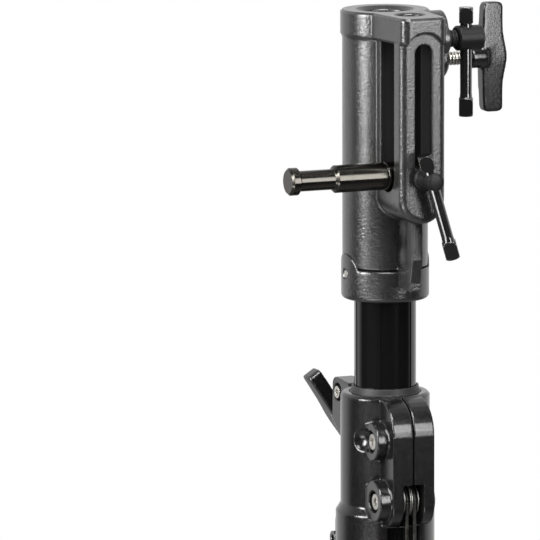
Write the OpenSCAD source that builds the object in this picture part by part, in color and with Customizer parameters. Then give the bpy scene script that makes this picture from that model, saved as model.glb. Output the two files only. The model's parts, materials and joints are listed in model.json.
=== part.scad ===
// Wind-up light stand: a tripod base with two cable-driven risers and a
// combination head that holds a 28 mm stud on top or a 16 mm spigot at its side.
// Origin on the floor under the column's axis. +Z up, +X from the column's axis
// towards the pulleys, the winch and the spigot's channel. Millimetres.

/* [Column and risers] */
// Height of the column's lower end above the floor
column_foot_h = 70; // [60:1:100]
// Length of the base column's tube
column_len = 1125; // [1100:1:1200]
// Outer radius of the base column
column_r = 32.5; // [32:0.1:34]
// Wall of the base column
column_wall = 2; // [1.6:0.1:2.2]
// Outer radius of the lower riser
riser_1_r = 25; // [24.5:0.1:25.2]
// Wall of the lower riser
riser_1_wall = 1.8; // [1.4:0.1:2]
// Outer radius of the upper riser
riser_2_r = 18; // [17.5:0.1:18.2]
// Wall of the upper riser
riser_2_wall = 1.5; // [1.2:0.1:2.5]
// Bare length of the lower riser between the two collars, stand lowered
riser_1_gap = 35; // [30:1:60]
// Bare length of the upper riser under the head, stand lowered
riser_2_gap = 59; // [45:1:80]
// Height of each riser's guide foot
foot_h = 40; // [30:1:50]
// Width of the six long grooves in the upper riser
groove_w = 1.6; // [1:0.1:2.5]
// Depth of the six long grooves in the upper riser
groove_deep = 0.5; // [0.3:0.1:0.8]

/* [Head] */
// Height of the head, its lower collar included
head_h = 168; // [164:1:176]
// Radius of the head's round body
head_r = 24.8; // [24:0.1:25]
// Radius of the 28 mm stud's socket
socket_r = 14.3; // [14:0.1:15]
// Depth of the 28 mm stud's socket
socket_deep = 78; // [60:1:82]
// Radius of the proud band round the head's top
band_r = 25.9; // [25.6:0.1:27]
// Height of the proud band
band_h = 15.2; // [14:0.1:17]
// Distance from the socket's axis to the spigot's axis
spigot_x = 34.5; // [34:0.1:35]
// Half width of the channel that holds the spigot
channel_half_w = 14.2; // [14:0.1:16]
// Distance from the socket's axis to the channel's front
channel_front = 54; // [52:0.1:55]
// Depth of the pivot below the head's top, spigot lowered
pivot_deep = 92; // [90:0.5:93]
// Height of the head's lower collar below its groove
head_collar_h = 19.2; // [18:0.1:21]
// Radius of the head's lower collar
head_collar_r = 25.5; // [25.3:0.1:26.4]

/* [Spigot] */
// Radius of the 16 mm spigot
spigot_r = 7.94; // [7.8:0.01:8]
// Distance from the pivot to the spigot's tip
spigot_reach = 76; // [70:0.5:76]
// Distance from the pivot to the spigot's blunt end
spigot_tail = 10.6; // [9.4:0.1:10.8]
// Radius of the spigot's waist
waist_r = 5.9; // [5:0.1:6.4]
// Length of the spigot's waist
waist_len = 22; // [16:0.5:24]
// Length of the spigot's round head
spigot_head_len = 6; // [5:0.1:8]

/* [Pulley collars] */
// Height of each collar
collar_h = 120; // [116:1:130]
// Wall of a collar's ring round the tube that it guides
ring_wall = 8; // [7.8:0.1:9]
// Wall of a collar's skirt round the tube that it sits on
skirt_wall = 3.8; // [3:0.1:5]
// Depth of a collar's ring, from its top to its shoulder
ring_h = 61.5; // [60:0.5:64]
// Half width of the pulley box at the collar's front
box_half_w = 13; // [12.5:0.1:14]
// Radius of a cable
cable_r = 1.2; // [0.8:0.05:1.3]
// Pitch radius of a sheave
sheave_pitch_r = 8; // [7.8:0.1:8.2]
// Rim radius of a sheave
sheave_rim_r = 9.8; // [9.4:0.1:10]
// Width of a sheave
sheave_w = 4.3; // [4:0.1:4.6]
// Radius of a sheave's axle
axle_r = 3; // [2.5:0.1:3.2]

/* [Clamp handles] */
// Span of a clamp wing
wing_span = 64; // [50:1:70]
// Depth of a clamp wing
wing_deep = 12.8; // [11:0.1:16]
// Thickness of a clamp wing
wing_t = 8.5; // [7:0.5:10]
// Radius of a sliding tommy bar
bar_r = 3.4; // [3:0.1:3.5]
// Length of a tommy bar from the boss's axis to its long end
bar_long = 42; // [35:1:50]
// Width of a tommy bar's end stop
bar_stop = 8; // [7.4:0.1:9]

/* [Winch] */
// Height of the winch's shaft above the floor
winch_h = 930; // [900:5:1000]
// Pitch radius of the cable on the winch's drum
drum_pitch_r = 18; // [16:0.5:20]
// Radius of the winch's housing
winch_r = 33; // [31:0.5:36]
// Half width of the winch's housing
winch_half_w = 24; // [22:0.5:28]
// Length of the crank's arm
crank_len = 130; // [110:5:140]
// Length of the crank's grip
grip_len = 74; // [60:1:90]
// Radius of the crank's grip
grip_r = 12; // [10:0.5:14]

/* [Tripod] */
// Height of the legs' hinges above the floor
leg_hinge_h = 700; // [680:5:730]
// Distance from the column's axis to the legs' hinges
leg_hinge_x = 58; // [57:0.5:64]
// Angle between a spread leg and the column
leg_spread = 36; // [30:1:40]
// Radius of a leg's tube
leg_r = 12.5; // [11:0.1:13]
// Wall of a leg's tube
leg_wall = 1.5; // [1.2:0.1:2.5]
// Radius of a leg's rubber foot
foot_r = 15; // [14.5:0.1:17]
// Length of a brace between its pivots
brace_len = 300; // [290:1:310]
// Width of a brace's flat bars
brace_w = 18; // [14:0.5:20]
// Thickness of a brace's flat bars
brace_t = 3; // [2:0.1:4]

/* [Hidden] */
$fn = 64;

CAST = [0.25, 0.25, 0.25];
TUBE = [0.05, 0.05, 0.06];
GLOSS = [0.08, 0.08, 0.08];
STEEL = [0.75, 0.75, 0.73];
DARK_CHROME = [0.3, 0.3, 0.31];
RUBBER = [0.07, 0.07, 0.07];
NYLON = [0.1, 0.1, 0.1];

// Clearances
fit = 0.05;
loose = 0.3;
seat = 0.05;

// Heights of the main pieces, stand lowered
column_top = column_foot_h + column_len;
tube_in_collar = 70;
lower_top = column_top + tube_in_collar;
upper_top = lower_top + riser_1_gap + collar_h;
head_top = upper_top + riser_2_gap + head_h;
head_foot = head_top - head_h;
tube_in_head = head_h - pivot_deep - 1;
riser_1_foot_z = column_foot_h + 75;
riser_2_foot_z = riser_1_foot_z + 30;
foot_floor = 12;

// Head, as depths below its top
groove_deep_z = head_h - head_collar_h;
groove_h = 0.8;
neck_r = 21.6;
neck_h = 5;
pin_up = 15;
lobe_r = 12;
pin_r = 2.2;
band_front = channel_front + 2.6;
band_corner_r = 5;
mouth_bevel = 2.4;
hole_r = spigot_r + loose;
channel_round = 4;
slot_half_w = spigot_r + 1.2;
cavity_back = head_r + 0.4;
cavity_front = channel_front - 4.1;
cavity_half_w = spigot_tail + 1;
front_slot_r = 5.4;
channel_round_z = pivot_deep + 12.6;
loop_back = 37.6;
loop_front = 45.4;
loop_half_w = 3.3;
stud_boss_r = 9;
stud_boss_end = 22;
stud_z = band_h / 2 + 7.4;
lock_z = 31;
lock_boss_r = 11.5;
lock_boss_end = 36.5;
arch_r = 12.2;
rear_x = 31.2;
rear_half_w = 13.5;
rear_h = 55;
rear_taper_h = 17;
rear_bolt_r = 3.15;
rear_bolt_up = 25.4;
rear_gap = 1.4;

// Pivot bolt and tommy-bar handles
pivot_r = 3.9;
washer_r = 7;
washer_t = 2.6;
boss_r = 5.1;
tilt_bar_x = channel_front + 10.6;
tilt_boss_end = tilt_bar_x + 6.9;
tilt_bar_angle = 16.8;
stop_up = 11;
stop_turn = -24;
stud_screw_r = 5;
stud_knob_r = 7.2;
stud_knob_start = stud_boss_end + 6.6;
stud_knob_end = stud_knob_start + 16.2;
stud_bar_y = stud_knob_start + 6.7;
stud_screw_tip = spigot_tail + 0.5;
thread_pitch = 1.9;
thread_deep = 0.8;
lock_screw_r = 4;
lock_hub_r = 6.4;
lock_hub_start = 53;
lock_wing_start = 60.2;

// Pulley collars, as depths below a collar's top and offsets from the tube
axle_out = 10;
axle_z = 55.5;
top_bolt_z = 21;
top_bolt_in = 4;
box_out = 13;
shoulder_h = 4.5;
bush_t = 2.3;
lip_t = 1.2;
bush_deep = 32;
lip_h = 3.6;
top_boss_r = 11;
axle_boss_r = 11.9;
boss_half_w = 20;
boss_far_half_w = 14.4;
bolt_head_r = 4.6;
bolt_recess_r = 6.4;
bolt_recess_deep = 4.4;
bolt_head_h = 3.2;
window_half_w = 6.5;
hollow_angle = 54;
ring_bevel = 1.6;
rim_h = 4;
hollow_r = 8.6;
hollow_deep = 3.4;
sheave_gap = 0.5;
strand_y = sheave_gap / 2 + sheave_w / 2;
skirt_gap_half_w = 10.5;
clamp_out = 22;
clamp_half_w = 12.5;
clamp_top = 6;
clamp_h = 30;
clamp_slit = 1.2;
clamp_bolt_z = 2.6;
pinch_r = 2.6;
pinch_head_r = 3.6;
pinch_recess = 2.4;
pinch_recess_r = 5.2;
ear_head_r = 4.2;
pinch_in = 8;
ear_bolt_in = 6.5;
clamp_screw_z = 22;
clamp_screw_r = 4;
clamp_wing_out = 35;
clamp_wing_angle = 33;
ear_out = 20;
ear_z = 90;
ear_half_h = 15;
ear_half_w = 10.5;
anchor_h = 8;
anchor_half_w = 7;

// Winch
winch_wall = 3;
shaft_r = 6;
winch_x = riser_1_r + axle_out + sheave_pitch_r + drum_pitch_r;
drum_core_r = drum_pitch_r - cable_r - 0.1;
drum_half_w = 15;
flange_r = winch_r - winch_wall - 2;
crank_t = 6;
crank_y = winch_half_w + 16;
crank_hub_r = 11;
crank_hub_end = crank_t + 4;
crank_w = 15;
grip_pin_r = 4;

// Tripod
sole_drop = 12.5;
leg_len = (leg_hinge_h - sole_drop) / cos(leg_spread);
brace_drop = 2 * brace_len * cos(leg_spread);
brace_z = leg_hinge_h - brace_drop;
leg_pin_r = 5;
knuckle_half_w = 12;
lug_t = 4;
lug_r = 13;
brace_pin_r = 4;
brace_in = leg_r + 2.8;
brace_lug_in = brace_in + brace_t + loose;
brace_ring_h = 36;
leg_azimuths = [60, 180, 300];
knob_r = 14;
boot_floor = 12;
knob_screw_r = 4;

// Depth of a clamp wing's outer and inner edges at a distance v from its middle
function wing_outer(v) = wing_deep + 2.8 * exp(-pow(v / 11, 2)) + 0.7 * pow(2 * v / wing_span, 4);
function wing_inner(v) = 1.2 * pow(2 * v / wing_span, 2);

// Points on an arc from angle a0 to angle a1
function arc(c, r, a0, a1, n = 8) =
    [for (i = [0:n]) let (a = a0 + (a1 - a0) * i / n) [c[0] + r * cos(a), c[1] + r * sin(a)]];

// A cylinder along Y from y0 to y1
module ycyl(r, y0, y1, x, z, r2 = -1) {
    translate([x, y0, z]) rotate([-90, 0, 0])
        cylinder(r1 = r, r2 = r2 < 0 ? r : r2, h = y1 - y0);
}

// A cylinder along X from x0 to x1
module xcyl(r, x0, x1, y, z, r2 = -1) {
    translate([x0, y, z]) rotate([0, 90, 0])
        cylinder(r1 = r, r2 = r2 < 0 ? r : r2, h = x1 - x0);
}

// A straight tube along Z
module pipe(r, wall, z0, z1) {
    translate([0, 0, z0]) difference() {
        cylinder(r = r, h = z1 - z0);
        translate([0, 0, -1]) cylinder(r = r - wall, h = z1 - z0 + 2);
    }
}

// A box given by its two corners
module span(lo, hi) {
    translate(lo) cube([hi[0] - lo[0], hi[1] - lo[1], hi[2] - lo[2]]);
}

// A threaded rod along Z, its ridges turned as rings
module thread_rod(r, len) {
    ridges = floor(len / thread_pitch);
    step = len / ridges;
    rotate_extrude() polygon(concat(
        [[0, 0]],
        [for (i = [0:ridges - 1]) each [
            [r - thread_deep, i * step],
            [r, (i + 0.4) * step],
            [r, (i + 0.6) * step],
            [r - thread_deep, (i + 1) * step]]],
        [[0, len]]));
}

// A hexagon-socket bolt head on Z, its socket open upwards
module bolt_head(r, h) {
    difference() {
        cylinder(r = r, h = h);
        translate([0, 0, h * 0.45]) cylinder(r = r * 0.55, h = h, $fn = 6);
    }
}

// A clamp wing: hub side at the origin, depth along +Z, span along Y
module wing() {
    half = wing_span / 2;
    round_r = 3;
    last = half - round_r;
    steps = 24;
    outer = [for (i = [0:steps]) let (v = last * (2 * i / steps - 1)) [v, wing_outer(v)]];
    inner = [for (i = [0:steps]) let (v = last * (1 - 2 * i / steps)) [v, wing_inner(v)]];
    rotate([90, 0, 90]) translate([0, 0, -wing_t / 2]) linear_extrude(wing_t) polygon(concat(
        outer,
        arc([last, wing_outer(last) - round_r], round_r, 80, 0, 5),
        arc([last, wing_inner(last) + round_r], round_r, 0, -80, 5),
        inner,
        arc([-last, wing_inner(last) + round_r], round_r, -100, -180, 5),
        arc([-last, wing_outer(last) - round_r], round_r, 180, 100, 5)));
}

// A sliding tommy bar along Z with its stop resting on the boss at the origin
module tommy_bar() {
    translate([0, 0, -bar_long]) cylinder(r = bar_r, h = bar_long + stop_up);
    translate([0, 0, stop_up]) rotate([0, 0, stop_turn]) intersection() {
        cube([bar_stop, bar_stop, bar_stop + 1.2], center = true);
        sphere(r = bar_stop * 0.76);
    }
    translate([0, 0, -bar_long]) rotate([0, 0, stop_turn]) intersection() {
        cube([bar_stop, bar_stop, bar_stop + 2.8], center = true);
        sphere(r = bar_stop * 0.82);
    }
    translate([0, 0, 3 - bar_long]) cylinder(r1 = bar_stop * 0.48, r2 = bar_r, h = 5);
}

// Outline of the proud band, seen from above
module band_outline() {
    half = channel_half_w;
    slant = 4.4;
    circle(r = band_r, $fn = 96);
    polygon(concat(
        [[0, -half - slant]],
        arc([band_front - band_corner_r, band_corner_r - half], band_corner_r, -90, 0),
        arc([band_front - band_corner_r, half - band_corner_r], band_corner_r, 0, 90),
        [[0, half + slant]]));
}

// Outline of the channel seen from its front, drawn in by inset
module channel_outline(half, top, inset) {
    translate([0, -channel_round_z]) circle(r = half - inset, $fn = 48);
    translate([inset - half, -channel_round_z]) square([2 * (half - inset), channel_round_z - top]);
}

// An outline drawn in Y and Z, extruded from x0 to x1
module along_x(x0, x1) {
    translate([x0, 0, 0]) rotate([90, 0, 90]) linear_extrude(x1 - x0) children();
}

module head_casting() {
    lock_boss_top = 13;
    round_steps = 5;
    loop_foot = 9 - head_h;
    neck_foot = -groove_deep_z - neck_h;
    color(CAST) translate([0, 0, head_top]) difference() {
        union() {
            translate([0, 0, -groove_deep_z]) cylinder(r = head_r, h = groove_deep_z - 1, $fn = 96);
            translate([0, 0, neck_foot]) cylinder(r = neck_r, h = neck_h + 1);
            translate([0, 0, 1.2 - band_h]) linear_extrude(band_h - 2.2) band_outline();
            translate([0, 0, -1]) linear_extrude(1) offset(delta = -0.9) band_outline();
            translate([0, 0, -band_h]) linear_extrude(1.2) offset(delta = -0.6) band_outline();
            hull() for (i = [0:round_steps]) {
                a = 90 * i / round_steps;
                front = channel_front - channel_round * (1 - sin(a));
                along_x(17, front) channel_outline(channel_half_w, band_h - 1, channel_round * (1 - cos(a)));
            }
            hull() {
                ycyl(lock_boss_r, 12, lock_boss_end - 2, 0, -lock_z);
                ycyl(lock_boss_r - 2, 12, lock_boss_end, 0, -lock_z);
                ycyl(lock_boss_r - 1, 12, lock_boss_end - 1, 0, -lock_boss_top);
            }
            ycyl(stud_boss_r, 10, stud_boss_end, spigot_x, -stud_z);
            hull() {
                span([loop_back, -loop_half_w, 8 - groove_deep_z], [loop_front, loop_half_w, -channel_round_z]);
                span([loop_back + 3, -loop_half_w, loop_foot], [loop_front - 4, loop_half_w, -channel_round_z]);
            }
            hull() {
                span([head_collar_r - 3, -loop_half_w, -groove_deep_z - 9],
                    [loop_back + 3, loop_half_w, 1 - groove_deep_z]);
                span([loop_back + 2, -loop_half_w, loop_foot], [loop_back + 5, loop_half_w, 4 - groove_deep_z]);
            }
        }
        // The 28 mm stud's socket with its bevelled mouth, and the riser's bore
        translate([0, 0, -socket_deep]) cylinder(r = socket_r, h = socket_deep + 1);
        translate([0, 0, -mouth_bevel])
            cylinder(r1 = socket_r, r2 = socket_r + mouth_bevel + 0.4, h = mouth_bevel + 0.01);
        translate([0, 0, neck_foot - 1])
            cylinder(r = riser_2_r + seat, h = 1 - neck_foot + tube_in_head - head_h);
        // The spigot's hole through the band
        translate([spigot_x, 0, -band_h - 1]) cylinder(r = hole_r, h = band_h + 2);
        translate([spigot_x, 0, -1]) cylinder(r1 = hole_r, r2 = hole_r + 1.1, h = 1.01);
        // The channel's inside, its side slot and its front slot
        intersection() {
            along_x(cavity_back, cavity_front) channel_outline(cavity_half_w, band_h, 0);
            span([0, -cavity_half_w, -200], [60, cavity_half_w, -band_h]);
        }
        ycyl(slot_half_w, -30, -cavity_half_w + 1, spigot_x, -pivot_deep);
        span([spigot_x - slot_half_w, -30, -pivot_deep], [spigot_x + slot_half_w, 1 - cavity_half_w, -band_h]);
        xcyl(front_slot_r, cavity_front - 1, 60, 0, -pivot_deep);
        xcyl(front_slot_r, cavity_front - 1, 60, 0, -band_h - front_slot_r);
        span([cavity_front - 1, -front_slot_r, -pivot_deep], [60, front_slot_r, -band_h - front_slot_r]);
        // The arch in the band's front
        xcyl(arch_r, channel_front, 60, 0, -band_h - front_slot_r);
        // The two clamp screws' holes
        ycyl(stud_screw_r + fit, 0, 30, spigot_x, -stud_z);
        ycyl(lock_screw_r + fit, 0, 50, 0, -lock_z);
        // The lower collar's seat and its pins
        ycyl(pin_r + seat, -head_collar_r, head_collar_r, 0, pin_up - head_h);
        translate([0, 0, -head_h - 1]) difference() {
            cylinder(r = head_collar_r + seat, h = head_collar_h + 1);
            translate([0, 0, head_collar_h + 1 - neck_h]) cylinder(r = neck_r, h = neck_h + 1);
            cylinder(r = 1, h = 1);
        }
        translate([0, 0, -head_h]) lobes(head_collar_r + seat, head_r);
    }
}

// The two half-round lobes that stand up from the lower collar at its sides
module lobes(outer, inner) {
    difference() {
        intersection() {
            cylinder(r = outer, h = head_h);
            ycyl(lobe_r, -40, 40, 0, pin_up);
            span([-40, -40, head_collar_h - groove_h - 1], [40, 40, 60]);
        }
        translate([0, 0, -1]) cylinder(r = inner + seat, h = head_h);
    }
}

module head_collar() {
    edge = 2.6;
    body_h = head_collar_h - groove_h;
    color(CAST) translate([0, 0, head_foot]) difference() {
        union() {
            rotate_extrude($fn = 96) polygon(concat(
                [[0, 0]],
                arc([head_collar_r - edge, edge], edge, -90, 0),
                [[head_collar_r, body_h - 0.8], [head_collar_r - 0.8, body_h], [0, body_h]]));
            lobes(head_collar_r, head_r);
        }
        translate([0, 0, -1]) cylinder(r = riser_2_r + seat, h = head_collar_h + 1);
        translate([0, 0, head_collar_h - neck_h]) cylinder(r = neck_r + seat, h = neck_h + 1);
        ycyl(pin_r + 1, -40, 1 - head_collar_r, 0, pin_up);
        ycyl(pin_r + 1, head_collar_r - 1, 40, 0, pin_up);
        ycyl(pin_r + seat, -40, 40, 0, pin_up);
    }
}

module head_pins() {
    inner = riser_2_r + seat;
    outer = head_collar_r - 0.6;
    color(STEEL) translate([0, 0, head_foot + pin_up]) {
        ycyl(pin_r, inner, outer, 0, 0);
        ycyl(pin_r, -outer, -inner, 0, 0);
    }
}

module rear_housing() {
    back = -rear_x;
    color(CAST) translate([0, 0, head_foot + rear_gap]) difference() {
        rotate([90, 0, 0]) translate([0, 0, -rear_half_w]) linear_extrude(2 * rear_half_w) polygon(concat(
            [[0, 2]],
            arc([back + 3, 3], 3, 270, 180, 4),
            arc([back + 5, rear_h - 5], 5, 180, 130, 4),
            [[1.5 - head_r, rear_h + rear_taper_h], [0, rear_h + rear_taper_h]]));
        translate([0, 0, -5]) cylinder(r = head_collar_r + seat, h = head_collar_h + 4, $fn = 96);
        translate([0, 0, -5]) cylinder(r = head_r + seat, h = 100, $fn = 96);
        xcyl(rear_bolt_r + seat, back - 1, 0, 0, rear_bolt_up - rear_gap);
    }
}

module rear_bolt() {
    dome_r = 7.3;
    dome_h = 4.6;
    color(GLOSS) translate([-rear_x, 0, head_foot + rear_bolt_up]) rotate([0, -90, 0]) difference() {
        union() {
            translate([0, 0, head_r + 0.3 - rear_x]) cylinder(r = rear_bolt_r, h = rear_x - head_r);
            rotate_extrude() polygon(concat(
                [[0, 0], [dome_r, 0]],
                [for (i = [1:8]) [dome_r * cos(i * 8.5), 0.6 + dome_h * 0.9 * sin(i * 8.5)]],
                [[0, dome_h]]));
        }
        translate([0, 0, dome_h - 2.6]) cylinder(r = 2.9, h = 3, $fn = 6);
    }
}

module pivot_bolt() {
    flange_t = 1;
    color(STEEL) translate([0, 0, head_top - pivot_deep]) {
        xcyl(6, cavity_back + 0.1, cavity_back + 0.1 + flange_t, 0, 0);
        xcyl(pivot_r, cavity_back + 0.1, tilt_bar_x - bar_r - 2.6, 0, 0);
    }
}

// The spigot lies level, its tip towards -Y
module spigot() {
    groove_r = spigot_r - 0.8;
    mount_start = 17;
    shoulder = spigot_reach - spigot_head_len - waist_len;
    color(DARK_CHROME) translate([spigot_x, 0, head_top - pivot_deep]) difference() {
        rotate([90, 0, 0]) rotate_extrude() polygon([
            [0, -spigot_tail], [4, -spigot_tail], [spigot_r, 4 - spigot_tail],
            [spigot_r, mount_start - 1.2], [groove_r, mount_start - 0.6],
            [groove_r, mount_start], [spigot_r, mount_start],
            [spigot_r, shoulder - 1], [spigot_r - 1, shoulder], [waist_r + 0.6, shoulder],
            [waist_r, shoulder + 0.6], [waist_r, shoulder + waist_len],
            [spigot_r - 0.8, shoulder + waist_len], [spigot_r, shoulder + waist_len + 0.8],
            [spigot_r, spigot_reach - 1.2], [spigot_r - 1.2, spigot_reach], [0, spigot_reach]]);
        xcyl(pivot_r + fit, -20, 20, 0, 0);
    }
}

module tilt_nut() {
    start = channel_front + 0.1;
    flare = 6;
    color(GLOSS) translate([0, 0, head_top - pivot_deep]) difference() {
        union() {
            xcyl(washer_r, start, start + washer_t, 0, 0);
            xcyl(washer_r - 0.6, start + washer_t, start + washer_t + flare, 0, 0, boss_r);
            xcyl(boss_r, start + washer_t, tilt_boss_end - 0.8, 0, 0);
            xcyl(boss_r, tilt_boss_end - 0.8, tilt_boss_end, 0, 0, boss_r - 0.8);
        }
        xcyl(pivot_r + fit, start - 1, tilt_bar_x - bar_r - 2.4, 0, 0);
        translate([tilt_bar_x, 0, 0]) rotate([tilt_bar_angle, 0, 0])
            translate([0, 0, -20]) cylinder(r = bar_r + fit, h = 40);
    }
}

module tilt_bar() {
    color(GLOSS) translate([tilt_bar_x, 0, head_top - pivot_deep])
        rotate([tilt_bar_angle, 0, 0]) tommy_bar();
}

module stud_screw() {
    color(GLOSS) translate([spigot_x, 0, head_top - stud_z]) difference() {
        union() {
            ycyl(stud_screw_r, stud_screw_tip, stud_boss_end - 2, 0, 0);
            translate([0, stud_boss_end - 2, 0]) rotate([-90, 0, 0])
                thread_rod(stud_screw_r, stud_knob_start - stud_boss_end + 2.2);
            ycyl(stud_knob_r - 1, stud_knob_start, stud_knob_start + 1, 0, 0, stud_knob_r);
            ycyl(stud_knob_r, stud_knob_start + 1, stud_knob_end - 1, 0, 0);
            ycyl(stud_knob_r, stud_knob_end - 1, stud_knob_end, 0, 0, stud_knob_r - 1);
        }
        translate([0, stud_bar_y, -20]) cylinder(r = bar_r + fit, h = 40);
    }
}

module stud_bar() {
    color(GLOSS) translate([spigot_x, stud_bar_y, head_top - stud_z])
        translate([0, 0, stud_knob_r - boss_r]) tommy_bar();
}

module socket_screw() {
    color(STEEL) translate([0, 0, head_top - lock_z]) {
        ycyl(lock_screw_r, socket_r + 0.3, lock_boss_end - 2, 0, 0);
        translate([0, lock_boss_end - 2, 0]) rotate([-90, 0, 0])
            thread_rod(lock_screw_r, lock_hub_start - lock_boss_end + 2);
    }
}

module socket_wing() {
    color(CAST) translate([0, 0, head_top - lock_z]) {
        ycyl(lock_hub_r, lock_hub_start, lock_wing_start + 3, 0, 0);
        translate([0, lock_wing_start, 0]) rotate([-90, 0, 0]) wing();
    }
}

module riser_2_tube() {
    grooves = 6;
    groove_foot = riser_2_foot_z + foot_h + 1;
    color(TUBE) difference() {
        pipe(riser_2_r, riser_2_wall, riser_2_foot_z + foot_floor, head_foot + tube_in_head);
        for (i = [0:grooves - 1]) rotate([0, 0, 30 + 60 * i])
            span([riser_2_r - groove_deep, -groove_w / 2, groove_foot],
                [riser_2_r + 1, groove_w / 2, head_foot - 1]);
    }
}

// A riser's guide foot: a plug that slides in the tube outside it
module riser_foot(z, tube_r, guide_r) {
    color(NYLON) translate([0, 0, z]) difference() {
        cylinder(r = guide_r, h = foot_h);
        translate([0, 0, foot_floor]) cylinder(r = tube_r + seat, h = foot_h);
        translate([0, 0, -1]) cylinder(r = tube_r * 0.4, h = foot_h);
    }
}

module riser_2_foot() {
    riser_foot(riser_2_foot_z, riser_2_r, riser_1_r - riser_1_wall - loose);
}

module riser_1_tube() {
    color(TUBE) pipe(riser_1_r, riser_1_wall, riser_1_foot_z + foot_floor, upper_top - tube_in_collar);
}

module riser_1_foot() {
    riser_foot(riser_1_foot_z, riser_1_r, column_r - column_wall - loose);
}

module base_column() {
    color(TUBE) pipe(column_r, column_wall, column_foot_h, column_top);
}

module column_cap() {
    cap_h = 8;
    color(RUBBER) translate([0, 0, column_foot_h]) {
        translate([0, 0, -cap_h]) cylinder(r1 = column_r - 1.5, r2 = column_r + 0.5, h = cap_h);
        cylinder(r = column_r - column_wall - seat, h = 22);
    }
}

// The collar's pulley box, seen from the side
module box_outline(front) {
    round_r = 20;
    low_r = 12;
    top = rim_h - 0.8;
    polygon(concat(
        [[0, top], [front - round_r + 0.8, top]],
        arc([front - round_r, top + 0.1 - round_r], round_r, 85, 0),
        arc([front - low_r, -ring_h + 3], low_r, 0, -80),
        [[0, -ring_h + 3 - low_r]]));
}

// A pulley collar: guides a tube of radius tube_r and sits on one of seat_r
module pulley_collar(top, tube_r, seat_r) {
    ring_r = tube_r + ring_wall;
    skirt_r = seat_r + skirt_wall;
    axle_x = tube_r + axle_out;
    top_bolt_x = axle_x - top_bolt_in;
    front = axle_x + box_out;
    clear_r = seat_r - 2.2;
    block_x = ring_r + clamp_out;
    ear_x = skirt_r + ear_out;
    foot_bevel = 1.5;
    shoulder_z = -ring_h - shoulder_h;
    color(CAST) translate([0, 0, top]) difference() {
        union() {
            translate([0, 0, -ring_h]) cylinder(r = ring_r, h = ring_h + rim_h - ring_bevel, $fn = 96);
            translate([0, 0, rim_h - ring_bevel])
                cylinder(r1 = ring_r, r2 = ring_r - ring_bevel, h = ring_bevel, $fn = 96);
            translate([0, 0, shoulder_z]) cylinder(r1 = skirt_r, r2 = ring_r, h = shoulder_h, $fn = 96);
            translate([0, 0, foot_bevel - collar_h])
                cylinder(r = skirt_r, h = collar_h + shoulder_z - foot_bevel, $fn = 96);
            translate([0, 0, -collar_h])
                cylinder(r1 = skirt_r - foot_bevel, r2 = skirt_r, h = foot_bevel, $fn = 96);
            rotate([90, 0, 0]) translate([0, 0, -box_half_w]) linear_extrude(2 * box_half_w)
                box_outline(front);
            ycyl(top_boss_r, -boss_half_w, boss_far_half_w, top_bolt_x, -top_bolt_z);
            ycyl(axle_boss_r, -boss_half_w, boss_far_half_w, axle_x - 1, -axle_z);
            clamp_block(block_x, ring_r);
            children();
            rotate([90, 0, 0]) translate([0, 0, -ear_half_w]) linear_extrude(2 * ear_half_w) polygon(concat(
                arc([-ear_x + 6, ear_half_h - ear_z - 6], 6, 90, 180),
                arc([-ear_x + 6, -ear_half_h - ear_z + 6], 6, 180, 270),
                [[-10, -ear_half_h - ear_z], [-10, ear_half_h - ear_z]]));
        }
        // The bush's seat, the clear bore and the tube's seat
        translate([0, 0, -bush_deep]) cylinder(r = tube_r + loose + bush_t + seat, h = bush_deep + rim_h + 1);
        translate([0, 0, -tube_in_collar]) cylinder(r = clear_r, h = tube_in_collar - bush_deep + 1);
        translate([0, 0, -collar_h - 1]) cylinder(r = seat_r + seat, h = collar_h + 1 - tube_in_collar);
        // The sheaves' window and the gap for the cables below it
        span([0, -window_half_w, -tube_in_collar - 1],
            [front + 5, window_half_w, sheave_rim_r + 0.6 - axle_z]);
        span([seat_r * 0.6, -skirt_gap_half_w, -collar_h - 1],
            [front + 5, skirt_gap_half_w, -tube_in_collar - 2]);
        // The slits in the box's front and in the clamp at the rear
        span([ring_r - 3.2, -0.4, -axle_z], [front + 5, 0.4, rim_h + 1]);
        span([-block_x - 5, -clamp_slit, -bush_deep - 1], [-tube_r - 1, clamp_slit, clamp_top + 1]);
        span([-ear_x - 5, -clamp_slit, -collar_h - 1], [-seat_r + 1, clamp_slit, ear_half_h - ear_z - 1]);
        // The bolts' holes and recesses
        for (p = [[top_bolt_x, top_bolt_z], [axle_x, axle_z]]) {
            ycyl(axle_r + seat, -40, 40, p[0], -p[1]);
            ycyl(bolt_recess_r, -40, bolt_recess_deep - boss_half_w, p[0], -p[1]);
            ycyl(bolt_recess_r, boss_far_half_w - bolt_recess_deep, 40, p[0], -p[1]);
        }
        // The tool's hollow beside the upper bolt
        for (s = [-1, 1]) rotate([0, 0, s * hollow_angle])
            translate([ring_r + hollow_r - hollow_deep, 0, -top_bolt_z]) sphere(r = hollow_r);
        ycyl(pinch_r + seat, -40, 40, pinch_in - block_x, -clamp_bolt_z);
        ycyl(pinch_r + seat, -40, 40, ear_bolt_in - ear_x, -ear_z);
        for (s = [-1, 1]) translate([0, s * clamp_half_w, 0])
            ycyl(pinch_recess_r, -pinch_recess, pinch_recess, pinch_in - block_x, -clamp_bolt_z);
        xcyl(clamp_screw_r + fit, -block_x - 5, -ring_r + 2, 0, -clamp_screw_z);
    }
}

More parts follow.
